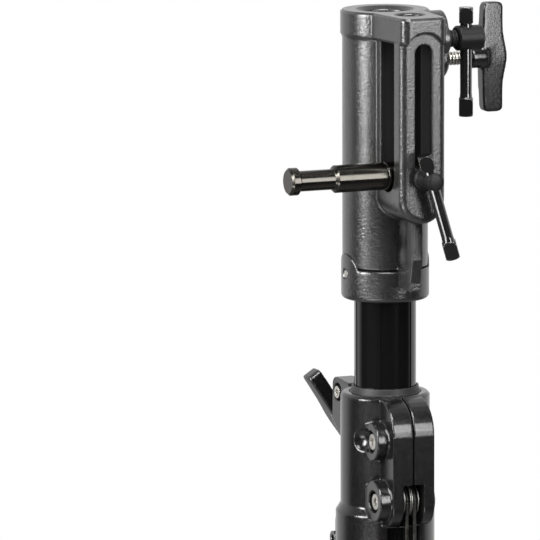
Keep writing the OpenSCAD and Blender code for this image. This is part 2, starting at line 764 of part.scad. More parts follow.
// The clamp block behind the collar's ring
module clamp_block(block_x, ring_r) {
    rotate([90, 0, 0]) translate([0, 0, -clamp_half_w]) linear_extrude(2 * clamp_half_w) polygon(concat(
        [[7 - ring_r, -1], [3.5 - ring_r, rim_h - 1], [1 - ring_r, clamp_top - 1]],
        arc([5 - block_x, clamp_top - 5], 5, 90, 180),
        [[-block_x, 2 - clamp_screw_z], [1 - ring_r, -clamp_h - 6], [7 - ring_r, -clamp_h - 6]]));
    xcyl(8.5, -block_x - 3, -ring_r, 0, -clamp_screw_z);
}

module upper_collar() {
    pulley_collar(upper_top, riser_2_r, riser_1_r);
}

// The lower collar also carries the anchor of the upper riser's cables
module lower_collar() {
    anchor_x = riser_2_r + axle_out + sheave_pitch_r;
    pulley_collar(lower_top, riser_1_r, column_r)
        rotate([90, 0, 0]) translate([0, 0, -anchor_half_w]) linear_extrude(2 * anchor_half_w) polygon([
            [anchor_x - 5, -12], [anchor_x - 5, anchor_h - 2], [anchor_x - 3, anchor_h],
            [anchor_x + 4, anchor_h], [anchor_x + 6, anchor_h - 2], [anchor_x + 6, -12]]);
}

// A collar's guide bush with its lip
module collar_bush(top, tube_r) {
    lip_r = tube_r + loose + lip_t;
    lip_top = rim_h + lip_h;
    color(NYLON) translate([0, 0, top]) difference() {
        union() {
            translate([0, 0, -bush_deep]) cylinder(r = tube_r + loose + bush_t, h = bush_deep + rim_h);
            translate([0, 0, rim_h - 1]) cylinder(r1 = lip_r + 0.3, r2 = lip_r, h = lip_h + 1);
        }
        translate([0, 0, -bush_deep - 1]) cylinder(r = tube_r + loose, h = bush_deep + lip_top + 2);
        span([-40, -clamp_slit, -bush_deep - 1], [-tube_r + 1, clamp_slit, lip_top + 1]);
    }
}

module upper_bush() {
    collar_bush(upper_top, riser_2_r);
}

module lower_bush() {
    collar_bush(lower_top, riser_1_r);
}

// Two sheaves side by side on one axle
module sheave_pair(top, tube_r) {
    root_r = sheave_pitch_r - cable_r - loose;
    root_half = cable_r + 0.1;
    half = sheave_w / 2;
    color(STEEL) translate([tube_r + axle_out, 0, top - axle_z]) for (s = [-1, 1])
        translate([0, s * strand_y, 0]) rotate([90, 0, 0]) rotate_extrude() polygon([
            [axle_r + fit, -half], [sheave_rim_r, -half], [sheave_rim_r, 0.5 - half],
            [root_r, -root_half], [root_r, root_half],
            [sheave_rim_r, half - 0.5], [sheave_rim_r, half], [axle_r + fit, half]]);
}

module upper_sheaves() {
    sheave_pair(upper_top, riser_2_r);
}

module lower_sheaves() {
    sheave_pair(lower_top, riser_1_r);
}

// A bolt along Y with a socket head at -Y and a nut at +Y
module cross_bolt(x, z, y0, y1, r, head_r, head_h) {
    ycyl(r, y0, y1, x, z);
    translate([x, y0, z]) rotate([90, 0, 0]) bolt_head(head_r, head_h);
    translate([x, y1, z]) rotate([-90, 0, 0]) cylinder(r = head_r, h = head_h, $fn = 6);
}

module box_bolts(top, tube_r) {
    y0 = bolt_recess_deep - boss_half_w;
    y1 = boss_far_half_w - bolt_recess_deep;
    axle_x = tube_r + axle_out;
    color(STEEL) {
        cross_bolt(axle_x - top_bolt_in, top - top_bolt_z, y0, y1, axle_r, bolt_head_r, bolt_head_h);
        cross_bolt(axle_x, top - axle_z, y0, y1, axle_r, bolt_head_r, bolt_head_h);
    }
}

module upper_bolts() {
    box_bolts(upper_top, riser_2_r);
}

module lower_bolts() {
    box_bolts(lower_top, riser_1_r);
}

// The bolt that closes a collar's clamp on its bush
module pinch_bolt(top, tube_r) {
    x = pinch_in - tube_r - ring_wall - clamp_out;
    half = clamp_half_w - pinch_recess;
    color(STEEL) cross_bolt(x, top - clamp_bolt_z, -half, half, pinch_r, pinch_head_r, 3);
}

module upper_pinch_bolt() {
    pinch_bolt(upper_top, riser_2_r);
}

module lower_pinch_bolt() {
    pinch_bolt(lower_top, riser_1_r);
}

// The bolt through a collar's rear ears, which clamps its skirt
module ear_bolt(top, seat_r) {
    x = ear_bolt_in - seat_r - skirt_wall - ear_out;
    color(GLOSS) cross_bolt(x, top - ear_z, -ear_half_w, ear_half_w, pinch_r, ear_head_r, 4.4);
}

module upper_ear_bolt() {
    ear_bolt(upper_top, riser_1_r);
}

module lower_ear_bolt() {
    ear_bolt(lower_top, column_r);
}

// A collar's clamp screw, its tip at the end of its hole
module clamp_screw(top, tube_r) {
    ring_r = tube_r + ring_wall;
    tip = ring_r - 1;
    shank_end = ring_r + clamp_out + 2;
    thread_end = ring_r + clamp_wing_out - 4;
    color(STEEL) translate([0, 0, top - clamp_screw_z]) {
        xcyl(clamp_screw_r, -shank_end, -tip, 0, 0);
        translate([-shank_end, 0, 0]) rotate([0, -90, 0]) thread_rod(clamp_screw_r, thread_end - shank_end);
    }
}

module clamp_wing(top, tube_r) {
    out = tube_r + ring_wall + clamp_wing_out;
    color(CAST) translate([0, 0, top - clamp_screw_z]) {
        xcyl(lock_hub_r, -out - 3, -out + 4, 0, 0);
        translate([-out, 0, 0]) rotate([clamp_wing_angle, 0, 0]) rotate([0, -90, 0]) rotate([0, 0, 90])
            wing();
    }
}

module upper_clamp_screw() {
    clamp_screw(upper_top, riser_2_r);
}

module upper_clamp_wing() {
    clamp_wing(upper_top, riser_2_r);
}

module lower_clamp_screw() {
    clamp_screw(lower_top, riser_1_r);
}

module lower_clamp_wing() {
    clamp_wing(lower_top, riser_1_r);
}

// Both strands of a cable's straight run
module cable_run(x, z0, z1) {
    color(STEEL) for (s = [-1, 1]) translate([x, s * strand_y, z0])
        cylinder(r = cable_r, h = z1 - z0, $fn = 16);
}

// Both strands over a pair of sheaves
module cable_wrap(top, tube_r) {
    color(STEEL) translate([tube_r + axle_out, 0, top - axle_z]) for (s = [-1, 1])
        translate([0, s * strand_y, 0]) rotate([90, 0, 0]) rotate_extrude(angle = 180)
            translate([sheave_pitch_r, 0]) circle(r = cable_r, $fn = 16);
}

module cable_head_outer() {
    cable_run(riser_2_r + axle_out + sheave_pitch_r, lower_top + anchor_h, upper_top - axle_z);
}

module cable_head_wrap() {
    cable_wrap(upper_top, riser_2_r);
}

module cable_head_inner() {
    cable_run(riser_2_r + axle_out - sheave_pitch_r, riser_2_foot_z + foot_h, upper_top - axle_z);
}

module cable_winch_outer() {
    cable_run(riser_1_r + axle_out + sheave_pitch_r, winch_h, lower_top - axle_z);
}

module cable_winch_wrap() {
    cable_wrap(lower_top, riser_1_r);
}

module cable_winch_inner() {
    cable_run(riser_1_r + axle_out - sheave_pitch_r, riser_1_foot_z + foot_h, lower_top - axle_z);
}

// The winch's casting: a drum case on a saddle that clamps the column
module winch_housing() {
    saddle_half = 40;
    band_t = 6;
    cable_x = winch_x - drum_pitch_r;
    color(CAST) translate([0, 0, winch_h]) difference() {
        union() {
            ycyl(winch_r, -winch_half_w, winch_half_w, winch_x, 0);
            span([0, -winch_half_w, -saddle_half], [winch_x - 8, winch_half_w, saddle_half]);
            for (z = [-saddle_half, saddle_half - 16]) translate([0, 0, z])
                cylinder(r = column_r + band_t, h = 16);
            ycyl(shaft_r + 8, winch_half_w, winch_half_w + 3, winch_x, 0);
        }
        translate([0, 0, -saddle_half - 1]) cylinder(r = column_r + seat, h = 2 * saddle_half + 2);
        ycyl(winch_r - winch_wall, -winch_half_w - 1, winch_half_w - winch_wall, winch_x, 0);
        ycyl(shaft_r + fit, 0, winch_half_w + 20, winch_x, 0);
        span([cable_x - 6, -strand_y - 3, 0], [cable_x + 5, strand_y + 3, saddle_half + 1]);
    }
}

module winch_cover() {
    bolts = 6;
    color(CAST) translate([winch_x, -winch_half_w, winch_h]) difference() {
        union() {
            ycyl(winch_r, -4, 0, 0, 0);
            ycyl(winch_r - 9, -8, -4, 0, 0, winch_r - 5);
            for (i = [0:bolts - 1]) rotate([0, 60 * i, 0]) translate([winch_r - 3.5, -4, 0])
                rotate([90, 0, 0]) bolt_head(2.8, 2.4);
        }
        ycyl(shaft_r + fit, -6, 1, 0, 0);
    }
}

module winch_drum() {
    color(STEEL) translate([winch_x, 0, winch_h]) {
        ycyl(shaft_r, -winch_half_w - 5, crank_y + crank_hub_end + 1, 0, 0);
        ycyl(drum_core_r, -drum_half_w, drum_half_w, 0, 0);
        for (s = [-1, 1]) translate([0, s * (drum_half_w + 1.5), 0]) ycyl(flange_r, -1.5, 1.5, 0, 0);
    }
}

// The crank's arm hangs down at rest
module winch_crank() {
    pin_end = crank_t + grip_len + 3;
    color(CAST) translate([winch_x, crank_y, winch_h]) difference() {
        union() {
            ycyl(crank_hub_r, -3, crank_hub_end, 0, 0);
            span([-crank_w / 2, 0, -crank_len], [crank_w / 2, crank_t, 0]);
            ycyl(crank_w / 2, 0, crank_t, 0, -crank_len);
            ycyl(grip_pin_r, 0, pin_end, 0, -crank_len);
            ycyl(grip_pin_r + 3, pin_end, pin_end + 2, 0, -crank_len);
        }
        ycyl(shaft_r + seat, -4, crank_hub_end + 1, 0, 0);
    }
}

module crank_grip() {
    neck = grip_r - 3;
    color(NYLON) translate([winch_x, crank_y + crank_t + 1, winch_h - crank_len]) rotate([-90, 0, 0])
        rotate_extrude() polygon(concat(
            [[grip_pin_r + fit, 0], [neck, 0], [neck + 1, 2], [neck, 8]],
            arc([grip_r - 7, grip_len - 10], 7, 15, 80),
            [[grip_pin_r + fit, grip_len]]));
}

// A piece in the frame of leg number k: X outwards, at the hinge's height
module at_leg(k) {
    rotate([0, 0, leg_azimuths[k - 1]]) translate([leg_hinge_x, 0, leg_hinge_h]) children();
}

module leg_collar() {
    ring_r = column_r + 10;
    half_h = 32;
    lug_in = knuckle_half_w + loose;
    color(CAST) difference() {
        union() {
            translate([0, 0, leg_hinge_h - half_h]) cylinder(r = ring_r, h = 2 * half_h, $fn = 96);
            translate([0, 0, leg_hinge_h - half_h + 4]) cylinder(r = ring_r + 1.4, h = 6, $fn = 96);
            for (k = [1:3]) at_leg(k) for (s = [-1, 1]) {
                y0 = s < 0 ? -lug_in - lug_t : lug_in;
                ycyl(lug_r, y0, y0 + lug_t, 0, 0);
                span([-30, y0, -lug_r], [0, y0 + lug_t, lug_r]);
            }
            for (k = [1:3]) rotate([0, 0, leg_azimuths[k - 1] + 60])
                xcyl(8, 0, ring_r + 4, 0, leg_hinge_h);
        }
        translate([0, 0, leg_hinge_h - 50]) cylinder(r = column_r + seat, h = 100);
        for (k = [1:3]) at_leg(k) ycyl(leg_pin_r + seat, -40, 40, 0, 0);
    }
}

module leg_pins() {
    reach = knuckle_half_w + loose + lug_t;
    color(STEEL) for (k = [1:3]) at_leg(k) {
        ycyl(leg_pin_r, -reach - 1, reach, 0, 0);
        translate([0, -reach, 0]) rotate([90, 0, 0]) bolt_head(8, 5);
        translate([0, reach, 0]) rotate([-90, 0, 0]) cylinder(r = 8, h = 5, $fn = 6);
    }
}

// A leg hangs along -Z of the hinge's frame before it is spread
module leg_tube(k) {
    sleeve_top = lug_r + 3;
    sleeve_foot = 60;
    color(TUBE) at_leg(k) rotate([0, -leg_spread, 0]) difference() {
        union() {
            ycyl(lug_r - 1, -knuckle_half_w, knuckle_half_w, 0, 0);
            span([-lug_r + 4, -knuckle_half_w, -sleeve_top - 1], [lug_r - 4, knuckle_half_w, 0]);
            translate([0, 0, -sleeve_foot]) cylinder(r = leg_r + 1, h = sleeve_foot - sleeve_top);
            translate([0, 0, boot_floor - leg_len])
                cylinder(r = leg_r, h = leg_len - boot_floor - sleeve_top - 1);
            translate([0, 0, -brace_len - 16]) cylinder(r = leg_r + 1.6, h = 32);
            ycyl(8, -brace_in + 0.3, brace_in - 0.3, 0, -brace_len);
            ycyl(brace_pin_r, -brace_lug_in - 1.6, brace_lug_in + 1.6, 0, -brace_len);
            ycyl(6.5, brace_in + brace_t + 0.3, brace_in + brace_t + 3, 0, -brace_len);
            ycyl(6.5, -brace_in - brace_t - 3, -brace_in - brace_t - 0.3, 0, -brace_len);
        }
        translate([0, 0, -leg_len]) cylinder(r = leg_r - leg_wall, h = leg_len - brace_len - 30);
        translate([0, 0, -brace_len + 20]) cylinder(r = leg_r - leg_wall, h = brace_len - 60);
        ycyl(leg_pin_r + fit, -30, 30, 0, 0);
    }
}

module leg_tube_1() {
    leg_tube(1);
}

module leg_tube_2() {
    leg_tube(2);
}

module leg_tube_3() {
    leg_tube(3);
}

// A rubber boot whose sole is cut flat on the floor
module leg_foot(k) {
    boot_h = 62;
    color(RUBBER) difference() {
        at_leg(k) rotate([0, -leg_spread, 0]) translate([0, 0, -leg_len]) difference() {
            union() {
                sphere(r = foot_r - 1);
                translate([0, 0, 5]) cylinder(r1 = foot_r, r2 = leg_r + 1.8, h = boot_h - 5);
                cylinder(r = foot_r - 1, h = 6);
                for (z = [14, 20, 26]) translate([0, 0, z]) cylinder(r = foot_r + 0.6, h = 2.4);
            }
            translate([0, 0, boot_floor]) cylinder(r = leg_r + seat, h = boot_h);
        }
        span([-900, -900, -100], [900, 900, 0]);
    }
}

module leg_foot_1() {
    leg_foot(1);
}

module leg_foot_2() {
    leg_foot(2);
}

module leg_foot_3() {
    leg_foot(3);
}

// A brace: two flat bars from the leg's bracket down to the sliding collar
module brace(k) {
    head_t = 1.8;
    color(STEEL) at_leg(k) rotate([0, -leg_spread, 0]) translate([0, 0, -brace_len])
        rotate([0, 2 * leg_spread, 0]) for (s = [-1, 1]) {
            y0 = s < 0 ? -brace_in - brace_t : brace_in;
            difference() {
                union() {
                    span([-brace_w / 2, y0, -brace_len], [brace_w / 2, y0 + brace_t, 0]);
                    ycyl(brace_w / 2, y0, y0 + brace_t, 0, 0);
                    ycyl(brace_w / 2, y0, y0 + brace_t, 0, -brace_len);
                    translate([0, s < 0 ? -brace_in : brace_in - head_t, -brace_len])
                        ycyl(6, 0, head_t, 0, 0);
                }
                ycyl(brace_pin_r + fit, -40, 40, 0, 0);
            }
        }
}

module brace_1() {
    brace(1);
}

module brace_2() {
    brace(2);
}

module brace_3() {
    brace(3);
}

// The collar that slides on the column and spreads the braces
module brace_collar() {
    ring_r = column_r + 9;
    color(CAST) translate([0, 0, brace_z]) difference() {
        union() {
            translate([0, 0, -brace_ring_h / 2]) cylinder(r = ring_r, h = brace_ring_h, $fn = 96);
            for (k = [1:3]) rotate([0, 0, leg_azimuths[k - 1]]) for (s = [-1, 1]) {
                y0 = s < 0 ? -brace_lug_in - lug_t : brace_lug_in;
                span([10, y0, -11], [leg_hinge_x, y0 + lug_t, 11]);
                ycyl(11, y0, y0 + lug_t, leg_hinge_x, 0);
                ycyl(6.5, s < 0 ? y0 - 3 : y0 + lug_t, s < 0 ? y0 : y0 + lug_t + 3, leg_hinge_x, 0);
            }
            xcyl(9, 0, ring_r + 8, 0, 0);
        }
        translate([0, 0, -50]) cylinder(r = column_r + loose, h = 100);
        xcyl(knob_screw_r + fit, 0, ring_r + 10, 0, 0);
    }
}

module brace_knob() {
    start = column_r + 17.4;
    lobe_count = 5;
    lobe_end_r = 4.6;
    color(NYLON) translate([0, 0, brace_z]) {
        xcyl(knob_screw_r, column_r + 0.6, start + 2, 0, 0);
        xcyl(8, start, start + 6, 0, 0);
        translate([start + 4, 0, 0]) rotate([0, 90, 0]) difference() {
            cylinder(r = knob_r, h = 12);
            for (i = [0:lobe_count - 1]) rotate([0, 0, 360 * i / lobe_count + 11])
                translate([knob_r + lobe_end_r * 0.6, 0, -1]) cylinder(r = lobe_end_r, h = 14);
        }
    }
}

head_casting();
head_collar();
head_pins();
rear_housing();
rear_bolt();
pivot_bolt();
spigot();
tilt_nut();
tilt_bar();
stud_screw();
stud_bar();
socket_screw();
socket_wing();
riser_2_tube();
riser_2_foot();
riser_1_tube();
riser_1_foot();
base_column();
column_cap();
upper_collar();
upper_bush();
upper_sheaves();
upper_bolts();
upper_pinch_bolt();
upper_ear_bolt();
upper_clamp_screw();
upper_clamp_wing();
lower_collar();
lower_bush();
lower_sheaves();
lower_bolts();
lower_pinch_bolt();
lower_ear_bolt();
lower_clamp_screw();
lower_clamp_wing();
cable_head_outer();
cable_head_wrap();
cable_head_inner();
cable_winch_outer();
cable_winch_wrap();
cable_winch_inner();
winch_housing();
winch_cover();
winch_drum();
winch_crank();
crank_grip();
leg_collar();
leg_pins();
leg_tube_1();
leg_tube_2();
leg_tube_3();
leg_foot_1();
leg_foot_2();
leg_foot_3();
brace_1();
brace_2();
brace_3();
brace_collar();
brace_knob();
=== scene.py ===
import json
import math

import bmesh
import bpy
from mathutils import Matrix, Vector

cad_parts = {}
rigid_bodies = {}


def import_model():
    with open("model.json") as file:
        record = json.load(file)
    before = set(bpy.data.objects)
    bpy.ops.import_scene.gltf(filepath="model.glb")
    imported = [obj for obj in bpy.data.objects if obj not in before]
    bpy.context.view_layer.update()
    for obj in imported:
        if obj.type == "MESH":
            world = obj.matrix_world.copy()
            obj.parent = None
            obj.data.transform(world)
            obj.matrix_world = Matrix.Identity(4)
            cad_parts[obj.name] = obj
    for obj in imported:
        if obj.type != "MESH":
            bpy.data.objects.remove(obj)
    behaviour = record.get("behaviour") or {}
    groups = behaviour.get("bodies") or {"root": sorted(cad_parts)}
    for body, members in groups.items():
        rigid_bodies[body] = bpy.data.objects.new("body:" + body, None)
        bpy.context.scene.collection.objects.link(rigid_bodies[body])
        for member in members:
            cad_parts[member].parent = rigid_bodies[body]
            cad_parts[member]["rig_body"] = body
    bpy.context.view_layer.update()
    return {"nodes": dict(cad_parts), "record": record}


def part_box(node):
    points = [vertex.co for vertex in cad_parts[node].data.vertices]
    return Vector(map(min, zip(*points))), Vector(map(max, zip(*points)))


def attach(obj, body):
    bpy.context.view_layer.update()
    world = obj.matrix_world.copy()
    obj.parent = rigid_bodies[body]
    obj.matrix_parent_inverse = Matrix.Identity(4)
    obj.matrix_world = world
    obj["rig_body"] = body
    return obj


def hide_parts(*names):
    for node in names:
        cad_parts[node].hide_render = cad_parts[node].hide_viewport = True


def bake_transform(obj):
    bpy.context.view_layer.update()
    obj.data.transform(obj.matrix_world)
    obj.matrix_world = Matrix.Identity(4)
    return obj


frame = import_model()
NODES = frame["nodes"]

bl_info = {
    "name": "Pulley light stand",
    "version": (1, 0, 0),
    "blender": (4, 5, 0),
    "location": "View3D > Sidebar > Light stand",
    "description": "Dresses the packed light stand with its finishes and sets it on a pale studio floor",
    "category": "Object",
}

MM = 0.001
UP = Vector((0, 0, 1))
WHITE = (1, 1, 1, 1)

# The head's corner that is highest and furthest forward, and its top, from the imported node
HEAD_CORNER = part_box("head_casting")[1]
HEAD_TOP = HEAD_CORNER.z

# The castings, each with the grid that it is remade on, in millimetres, and the share of faces kept
CASTINGS = {"head_casting": (0.4, 0.3), "head_collar": (0.4, 0.3), "rear_housing": (0.6, 0.3),
            "upper_collar": (0.45, 0.3), "lower_collar": (0.6, 0.3),
            "winch_housing": (0.9, 0.4), "winch_cover": (0.7, 0.4), "winch_crank": (0.8, 0.4),
            "leg_collar": (0.9, 0.4), "brace_collar": (0.9, 0.4)}
CASTING_ROUNDS = 2

# The clamp wings, which share one grid, number of rounds and share of faces kept
WINGS = ("socket_wing", "upper_clamp_wing", "lower_clamp_wing")
WING_GRID, WING_ROUNDS, WING_KEEP = 0.6, 14, 0.35
# The share of its thickness that the socket's wing loses at its two ends
WING_TAPER = 0.26


# Shader expressions

class Value:
    """A shader socket on which arithmetic is written as Python expressions."""

    def __init__(self, net, socket):
        self.net = net
        self.socket = socket

    def maths(self, operation, other, swap=False):
        """A Math node on this socket and another value, the other way round where swap is set."""
        values = (other, self) if swap else (self, other)
        return self.net.add("ShaderNodeMath", {"operation": operation}, dict(enumerate(values)))

    def __add__(self, other):
        return self.maths("ADD", other)

    __radd__ = __add__

    def __sub__(self, other):
        return self.maths("SUBTRACT", other)

    def __rsub__(self, other):
        return self.maths("SUBTRACT", other, swap=True)

    def __mul__(self, other):
        return self.maths("MULTIPLY", other)

    __rmul__ = __mul__

    def smooth(self, low, high):
        """0 below low, 1 above high, and a soft step between them."""
        return self.net.add("ShaderNodeMapRange", {"interpolation_type": "SMOOTHSTEP"},
                            {"Value": self, "From Min": low, "From Max": high})


class Net:
    """A node tree under construction, emptied first."""

    output_kind = "ShaderNodeOutputMaterial"

    def __init__(self, owner):
        owner.use_nodes = True
        self.tree = owner.node_tree
        self.tree.nodes.clear()

    def add(self, kind, settings=None, inputs=None, out=0):
        """Adds any node: its settings first, then the values or links of its sockets."""
        node = self.tree.nodes.new(kind)
        for key, value in (settings or {}).items():
            setattr(node, key, value)
        for key, value in (inputs or {}).items():
            socket = node.inputs[key]
            if isinstance(value, Value):
                self.tree.links.new(value.socket, socket)
            else:
                socket.default_value = value
        return Value(self, node.outputs[out])

    def place(self, scale=(1, 1, 1)):
        """The point on the piece, in metres, drawn out by scale."""
        point = self.add("ShaderNodeTexCoord", out="Object")
        if scale == (1, 1, 1):
            return point
        return self.add("ShaderNodeVectorMath", {"operation": "MULTIPLY"}, {0: point, 1: scale})

    def noise(self, point, scale, detail):
        """Smooth noise about 0.5, with scale cells to a metre of the point."""
        inputs = {"Vector": point, "Scale": scale, "Detail": detail}
        return self.add("ShaderNodeTexNoise", None, inputs, out="Fac")

    def part(self, point, axis):
        """One of the three numbers of a point."""
        return self.add("ShaderNodeSeparateXYZ", None, {0: point}, out=axis)

    def mix(self, factor, a, b):
        """A colour between a and b."""
        return self.add("ShaderNodeMix", {"data_type": "RGBA"}, {0: factor, 6: a, 7: b}, out=2)

    def shade(self, colour, factor):
        """A colour made lighter or darker by a factor."""
        return self.add("ShaderNodeVectorMath", {"operation": "SCALE"}, {0: colour, "Scale": factor})

    def soft_edge(self, radius):
        """The surface's normal with its edges rounded off."""
        return self.add("ShaderNodeBevel", {"samples": 4}, {"Radius": radius})

    def edge_mask(self, normal, low=0.02, high=0.25):
        """1 along the sharp edges of a piece, 0 on its faces."""
        face = self.add("ShaderNodeNewGeometry", out="Normal")
        return (1.0 - self.dot(normal, face)).smooth(low, high)

    def dot(self, a, b):
        """The dot product of two vectors."""
        return self.add("ShaderNodeVectorMath", {"operation": "DOT_PRODUCT"}, {0: a, 1: b}, out="Value")

    def ray(self, kind):
        """1 for rays of one kind, such as those that the camera sends, and 0 for the others."""
        return self.add("ShaderNodeLightPath", out=kind)

    def mix_shaders(self, factor, a, b):
        """A shader between a and b."""
        return self.add("ShaderNodeMixShader", None, {0: factor, 1: a, 2: b})

    def bump(self, height, depth, strength, normal=None):
        """The surface's normal over a height of 0 to 1 times a depth in metres."""
        inputs = {"Height": height, "Distance": depth, "Strength": strength}
        if normal is not None:
            inputs["Normal"] = normal
        return self.add("ShaderNodeBump", None, inputs)

    def close(self, shader):
        """Ends the tree with a shader."""
        output = self.tree.nodes.new(self.output_kind)
        self.tree.links.new(shader.socket, output.inputs["Surface"])


class Finish(Net):
    """A material under construction: its nodes, and the surface that they feed."""

    def __init__(self, name):
        self.material = bpy.data.materials.new(name)
        super().__init__(self.material)

    def surface(self, unshaded=None, **sockets):
        """Closes the material with a shader from its sockets' names, blended into near-black painted shade as
        its shade factor falls to 0.
        """
        inputs = {key.replace("_", " ").title(): value for key, value in sockets.items()}
        if "Ior" in inputs:
            inputs["IOR"] = inputs.pop("Ior")
        shader = self.add("ShaderNodeBsdfPrincipled", None, inputs)
        if unshaded is not None:
            crevice_shade = self.add("ShaderNodeBsdfPrincipled", None, CREVICE_SHADE)
            shader = self.mix_shaders(unshaded, crevice_shade, shader)
        self.close(shader)
        return self.material

    def open_air(self, reach, low, high):
        """1 where a place is open to the air within a reach, 0 in narrow gaps and deep hollows, where the
        finishes paint shade.
        """
        air = self.add("ShaderNodeAmbientOcclusion", {"samples": 8}, {"Distance": reach}, out="AO")
        return air.smooth(low, high)


class Sky(Net):
    """The world's node tree."""

    output_kind = "ShaderNodeOutputWorld"


def rgba(colour, factor=1.0):
    """A setting's colour as a shader takes it, made lighter or darker by a factor."""
    return (colour[0] * factor, colour[1] * factor, colour[2] * factor, 1.0)


# Finishes

# The near-black shader of painted shade in narrow gaps and deep hollows
CREVICE_SHADE = {"Base Color": (0.006, 0.006, 0.006, 1), "Roughness": 0.7, "Specular IOR Level": 0.15}

# Colours of wear and dirt
RUBBED_PLATING = (0.12, 0.118, 0.115, 1)
RUBBED_OXIDE = (0.14, 0.138, 0.135, 1)
GREASE = (0.014, 0.013, 0.011, 1)
BARE_METAL = (0.3, 0.29, 0.27, 1)
DUST = (0.16, 0.15, 0.13, 1)

# Roundings of edges, in metres
PLATED_EDGE = 0.0006
TURNED_EDGE = 0.0003
PAINTED_EDGE = 0.0005
MOULDED_EDGE = 0.0006
RUBBER_EDGE = 0.0008

# Soft steps round the spigot's channel in the head, inside which shade is painted, in metres
CHANNEL_BACK = (0.0185, 0.0190)  # out from the column's axis
CHANNEL_SIDE = (0.0134, 0.0140)  # out from its middle, on both sides
CHANNEL_FRONT = (0.0095, 0.0085)  # back from the head's front
CHANNEL_ROOF = (0.0156, 0.0152)  # down from the head's top
CHANNEL_FLOOR = (0.108, 0.107)  # down from the head's top


def powder_coat(net, look, colour=None, ior=1.75, shade_inside=0.0, relief=0.6, smoothest=0.13):
    """Grainy satin powder coat on a casting, with near-black painted shade in its gaps and hollows and
    wherever the mask for painted shade inside is 1.

    relief is its bumps' height as a share of the Grain setting, and smoothest its least roughness.
    """
    colour = colour or look.casting
    point = net.place()
    grain = net.noise(point, 1400, 2)
    pebble = net.noise(point, 720, 2)
    cloud = net.noise(point, 28, 3)
    round_normal = net.soft_edge(look.edge_radius)
    # Lighter edges, partly wear and partly a painted highlight along them
    rim = net.edge_mask(round_normal) * net.noise(point, 90, 3).smooth(0.3, 0.7)
    tone = 0.4 + 0.3 * cloud + 0.5 * grain.smooth(0.35, 0.7) + 0.5 * pebble.smooth(0.35, 0.65)
    tinted = net.shade(net.mix(rim * 0.5, rgba(colour), rgba(look.edge_wear_and_highlight)), tone)
    return net.surface(
        base_color=tinted,
        # Painted shade: near black in gaps and hollows, and inside the head's channel
        unshaded=net.open_air(0.03, 0.3, 0.7) * (1.0 - shade_inside),
        roughness=smoothest + 0.12 * pebble + 0.07 * cloud,
        normal=net.bump(0.8 * grain + 0.9 * pebble, relief * look.grain_height, 1.0, round_normal),
        metallic=0.0, ior=ior)


def head_coat(net, look):
    """The head's coat, with near-black painted shade filling the spigot's channel inside its mouths."""
    point = net.place()
    x, y, z = (net.part(point, axis) for axis in "XYZ")
    front = [HEAD_CORNER.x - depth for depth in CHANNEL_FRONT]
    roof = [HEAD_TOP - depth for depth in CHANNEL_ROOF]
    floor = [HEAD_TOP - depth for depth in CHANNEL_FLOOR]
    inner, outer = CHANNEL_SIDE
    # Painted shade: 1 inside the spigot's channel, which is painted near black
    deep = (x.smooth(*CHANNEL_BACK) * (1.0 - x.smooth(*front))
            * y.smooth(-outer, -inner) * (1.0 - y.smooth(inner, outer))
            * (1.0 - z.smooth(*roof)) * z.smooth(*floor))
    return powder_coat(net, look, shade_inside=deep)


def shaded_coat(net, look):
    """A shaded copy of the castings' powder coat on the pulley collars and the wings: its darker colour is
    painted shade, and it is smoother.
    """
    return powder_coat(net, look, look.shaded_coat_colour, 1.6, relief=0.2, smoothest=0.09)


def anodised(net, look):
    """Gloss black anodising with faint rubbing along the tube."""
    point = net.place()
    drawn = net.noise(net.place((900, 900, 14)), 1.0, 3)
    rubbed = net.noise(net.place((40, 40, 5)), 1.0, 4).smooth(0.5, 0.75)
    cloud = net.noise(point, 35, 3)
    tint = net.mix(rubbed * 0.35, rgba(look.tube), rgba(look.tube, 1.8))
    return net.surface(
        base_color=net.shade(tint, 0.85 + 0.3 * cloud),
        roughness=0.1 + 0.08 * rubbed + 0.05 * drawn,
        normal=net.bump(drawn, 0.00001, 0.4),
        metallic=0.0, ior=1.5)


def gloss_black(net, look):
    """Gloss black plating on turned steel."""
    point = net.place()
    peel = net.noise(point, 260, 2)
    cloud = net.noise(point, 60, 3)
    round_normal = net.soft_edge(PLATED_EDGE)
    rim = net.edge_mask(round_normal) * cloud.smooth(0.45, 0.7)
    tint = net.mix(rim * 0.5, rgba(look.plating), RUBBED_PLATING)
    return net.surface(
        base_color=net.shade(tint, 0.8 + 0.4 * cloud),
        roughness=0.07 + 0.08 * cloud,
        normal=net.bump(peel, 0.00004, 0.4, round_normal),
        metallic=0.0, ior=2.1)


def oxide(net, look):
    """Dull black oxide on the handles' hubs, with near-black painted shade in their crevices."""
    point = net.place()
    grit = net.noise(point, 900, 3)
    cloud = net.noise(point, 120, 3)
    round_normal = net.soft_edge(PLATED_EDGE)
    rim = net.edge_mask(round_normal) * cloud.smooth(0.4, 0.65)
    tint = net.mix(rim * 0.6, rgba(look.plating), RUBBED_OXIDE)
    return net.surface(
        base_color=net.shade(tint, 0.6 + 0.8 * grit),
        unshaded=net.open_air(0.006, 0.1, 0.6),
        roughness=0.3 + 0.15 * cloud + 0.1 * grit,
        normal=net.bump(grit, 0.00012, 0.6, round_normal),
        metallic=0.0, ior=1.35)


def bright_steel(net, look):
    """Bright zinc plating, a little dulled."""
    point = net.place()
    wipe = net.noise(point, 700, 3)
    cloud = net.noise(point, 90, 3)
    round_normal = net.soft_edge(TURNED_EDGE)
    tint = net.mix(cloud.smooth(0.4, 0.7), rgba(look.zinc), rgba(look.zinc, 0.7))
    return net.surface(
        base_color=net.shade(tint, 0.85 + 0.25 * wipe),
        roughness=0.2 + 0.2 * wipe,
        normal=net.bump(wipe, 0.00003, 0.5, round_normal),
        metallic=1.0)


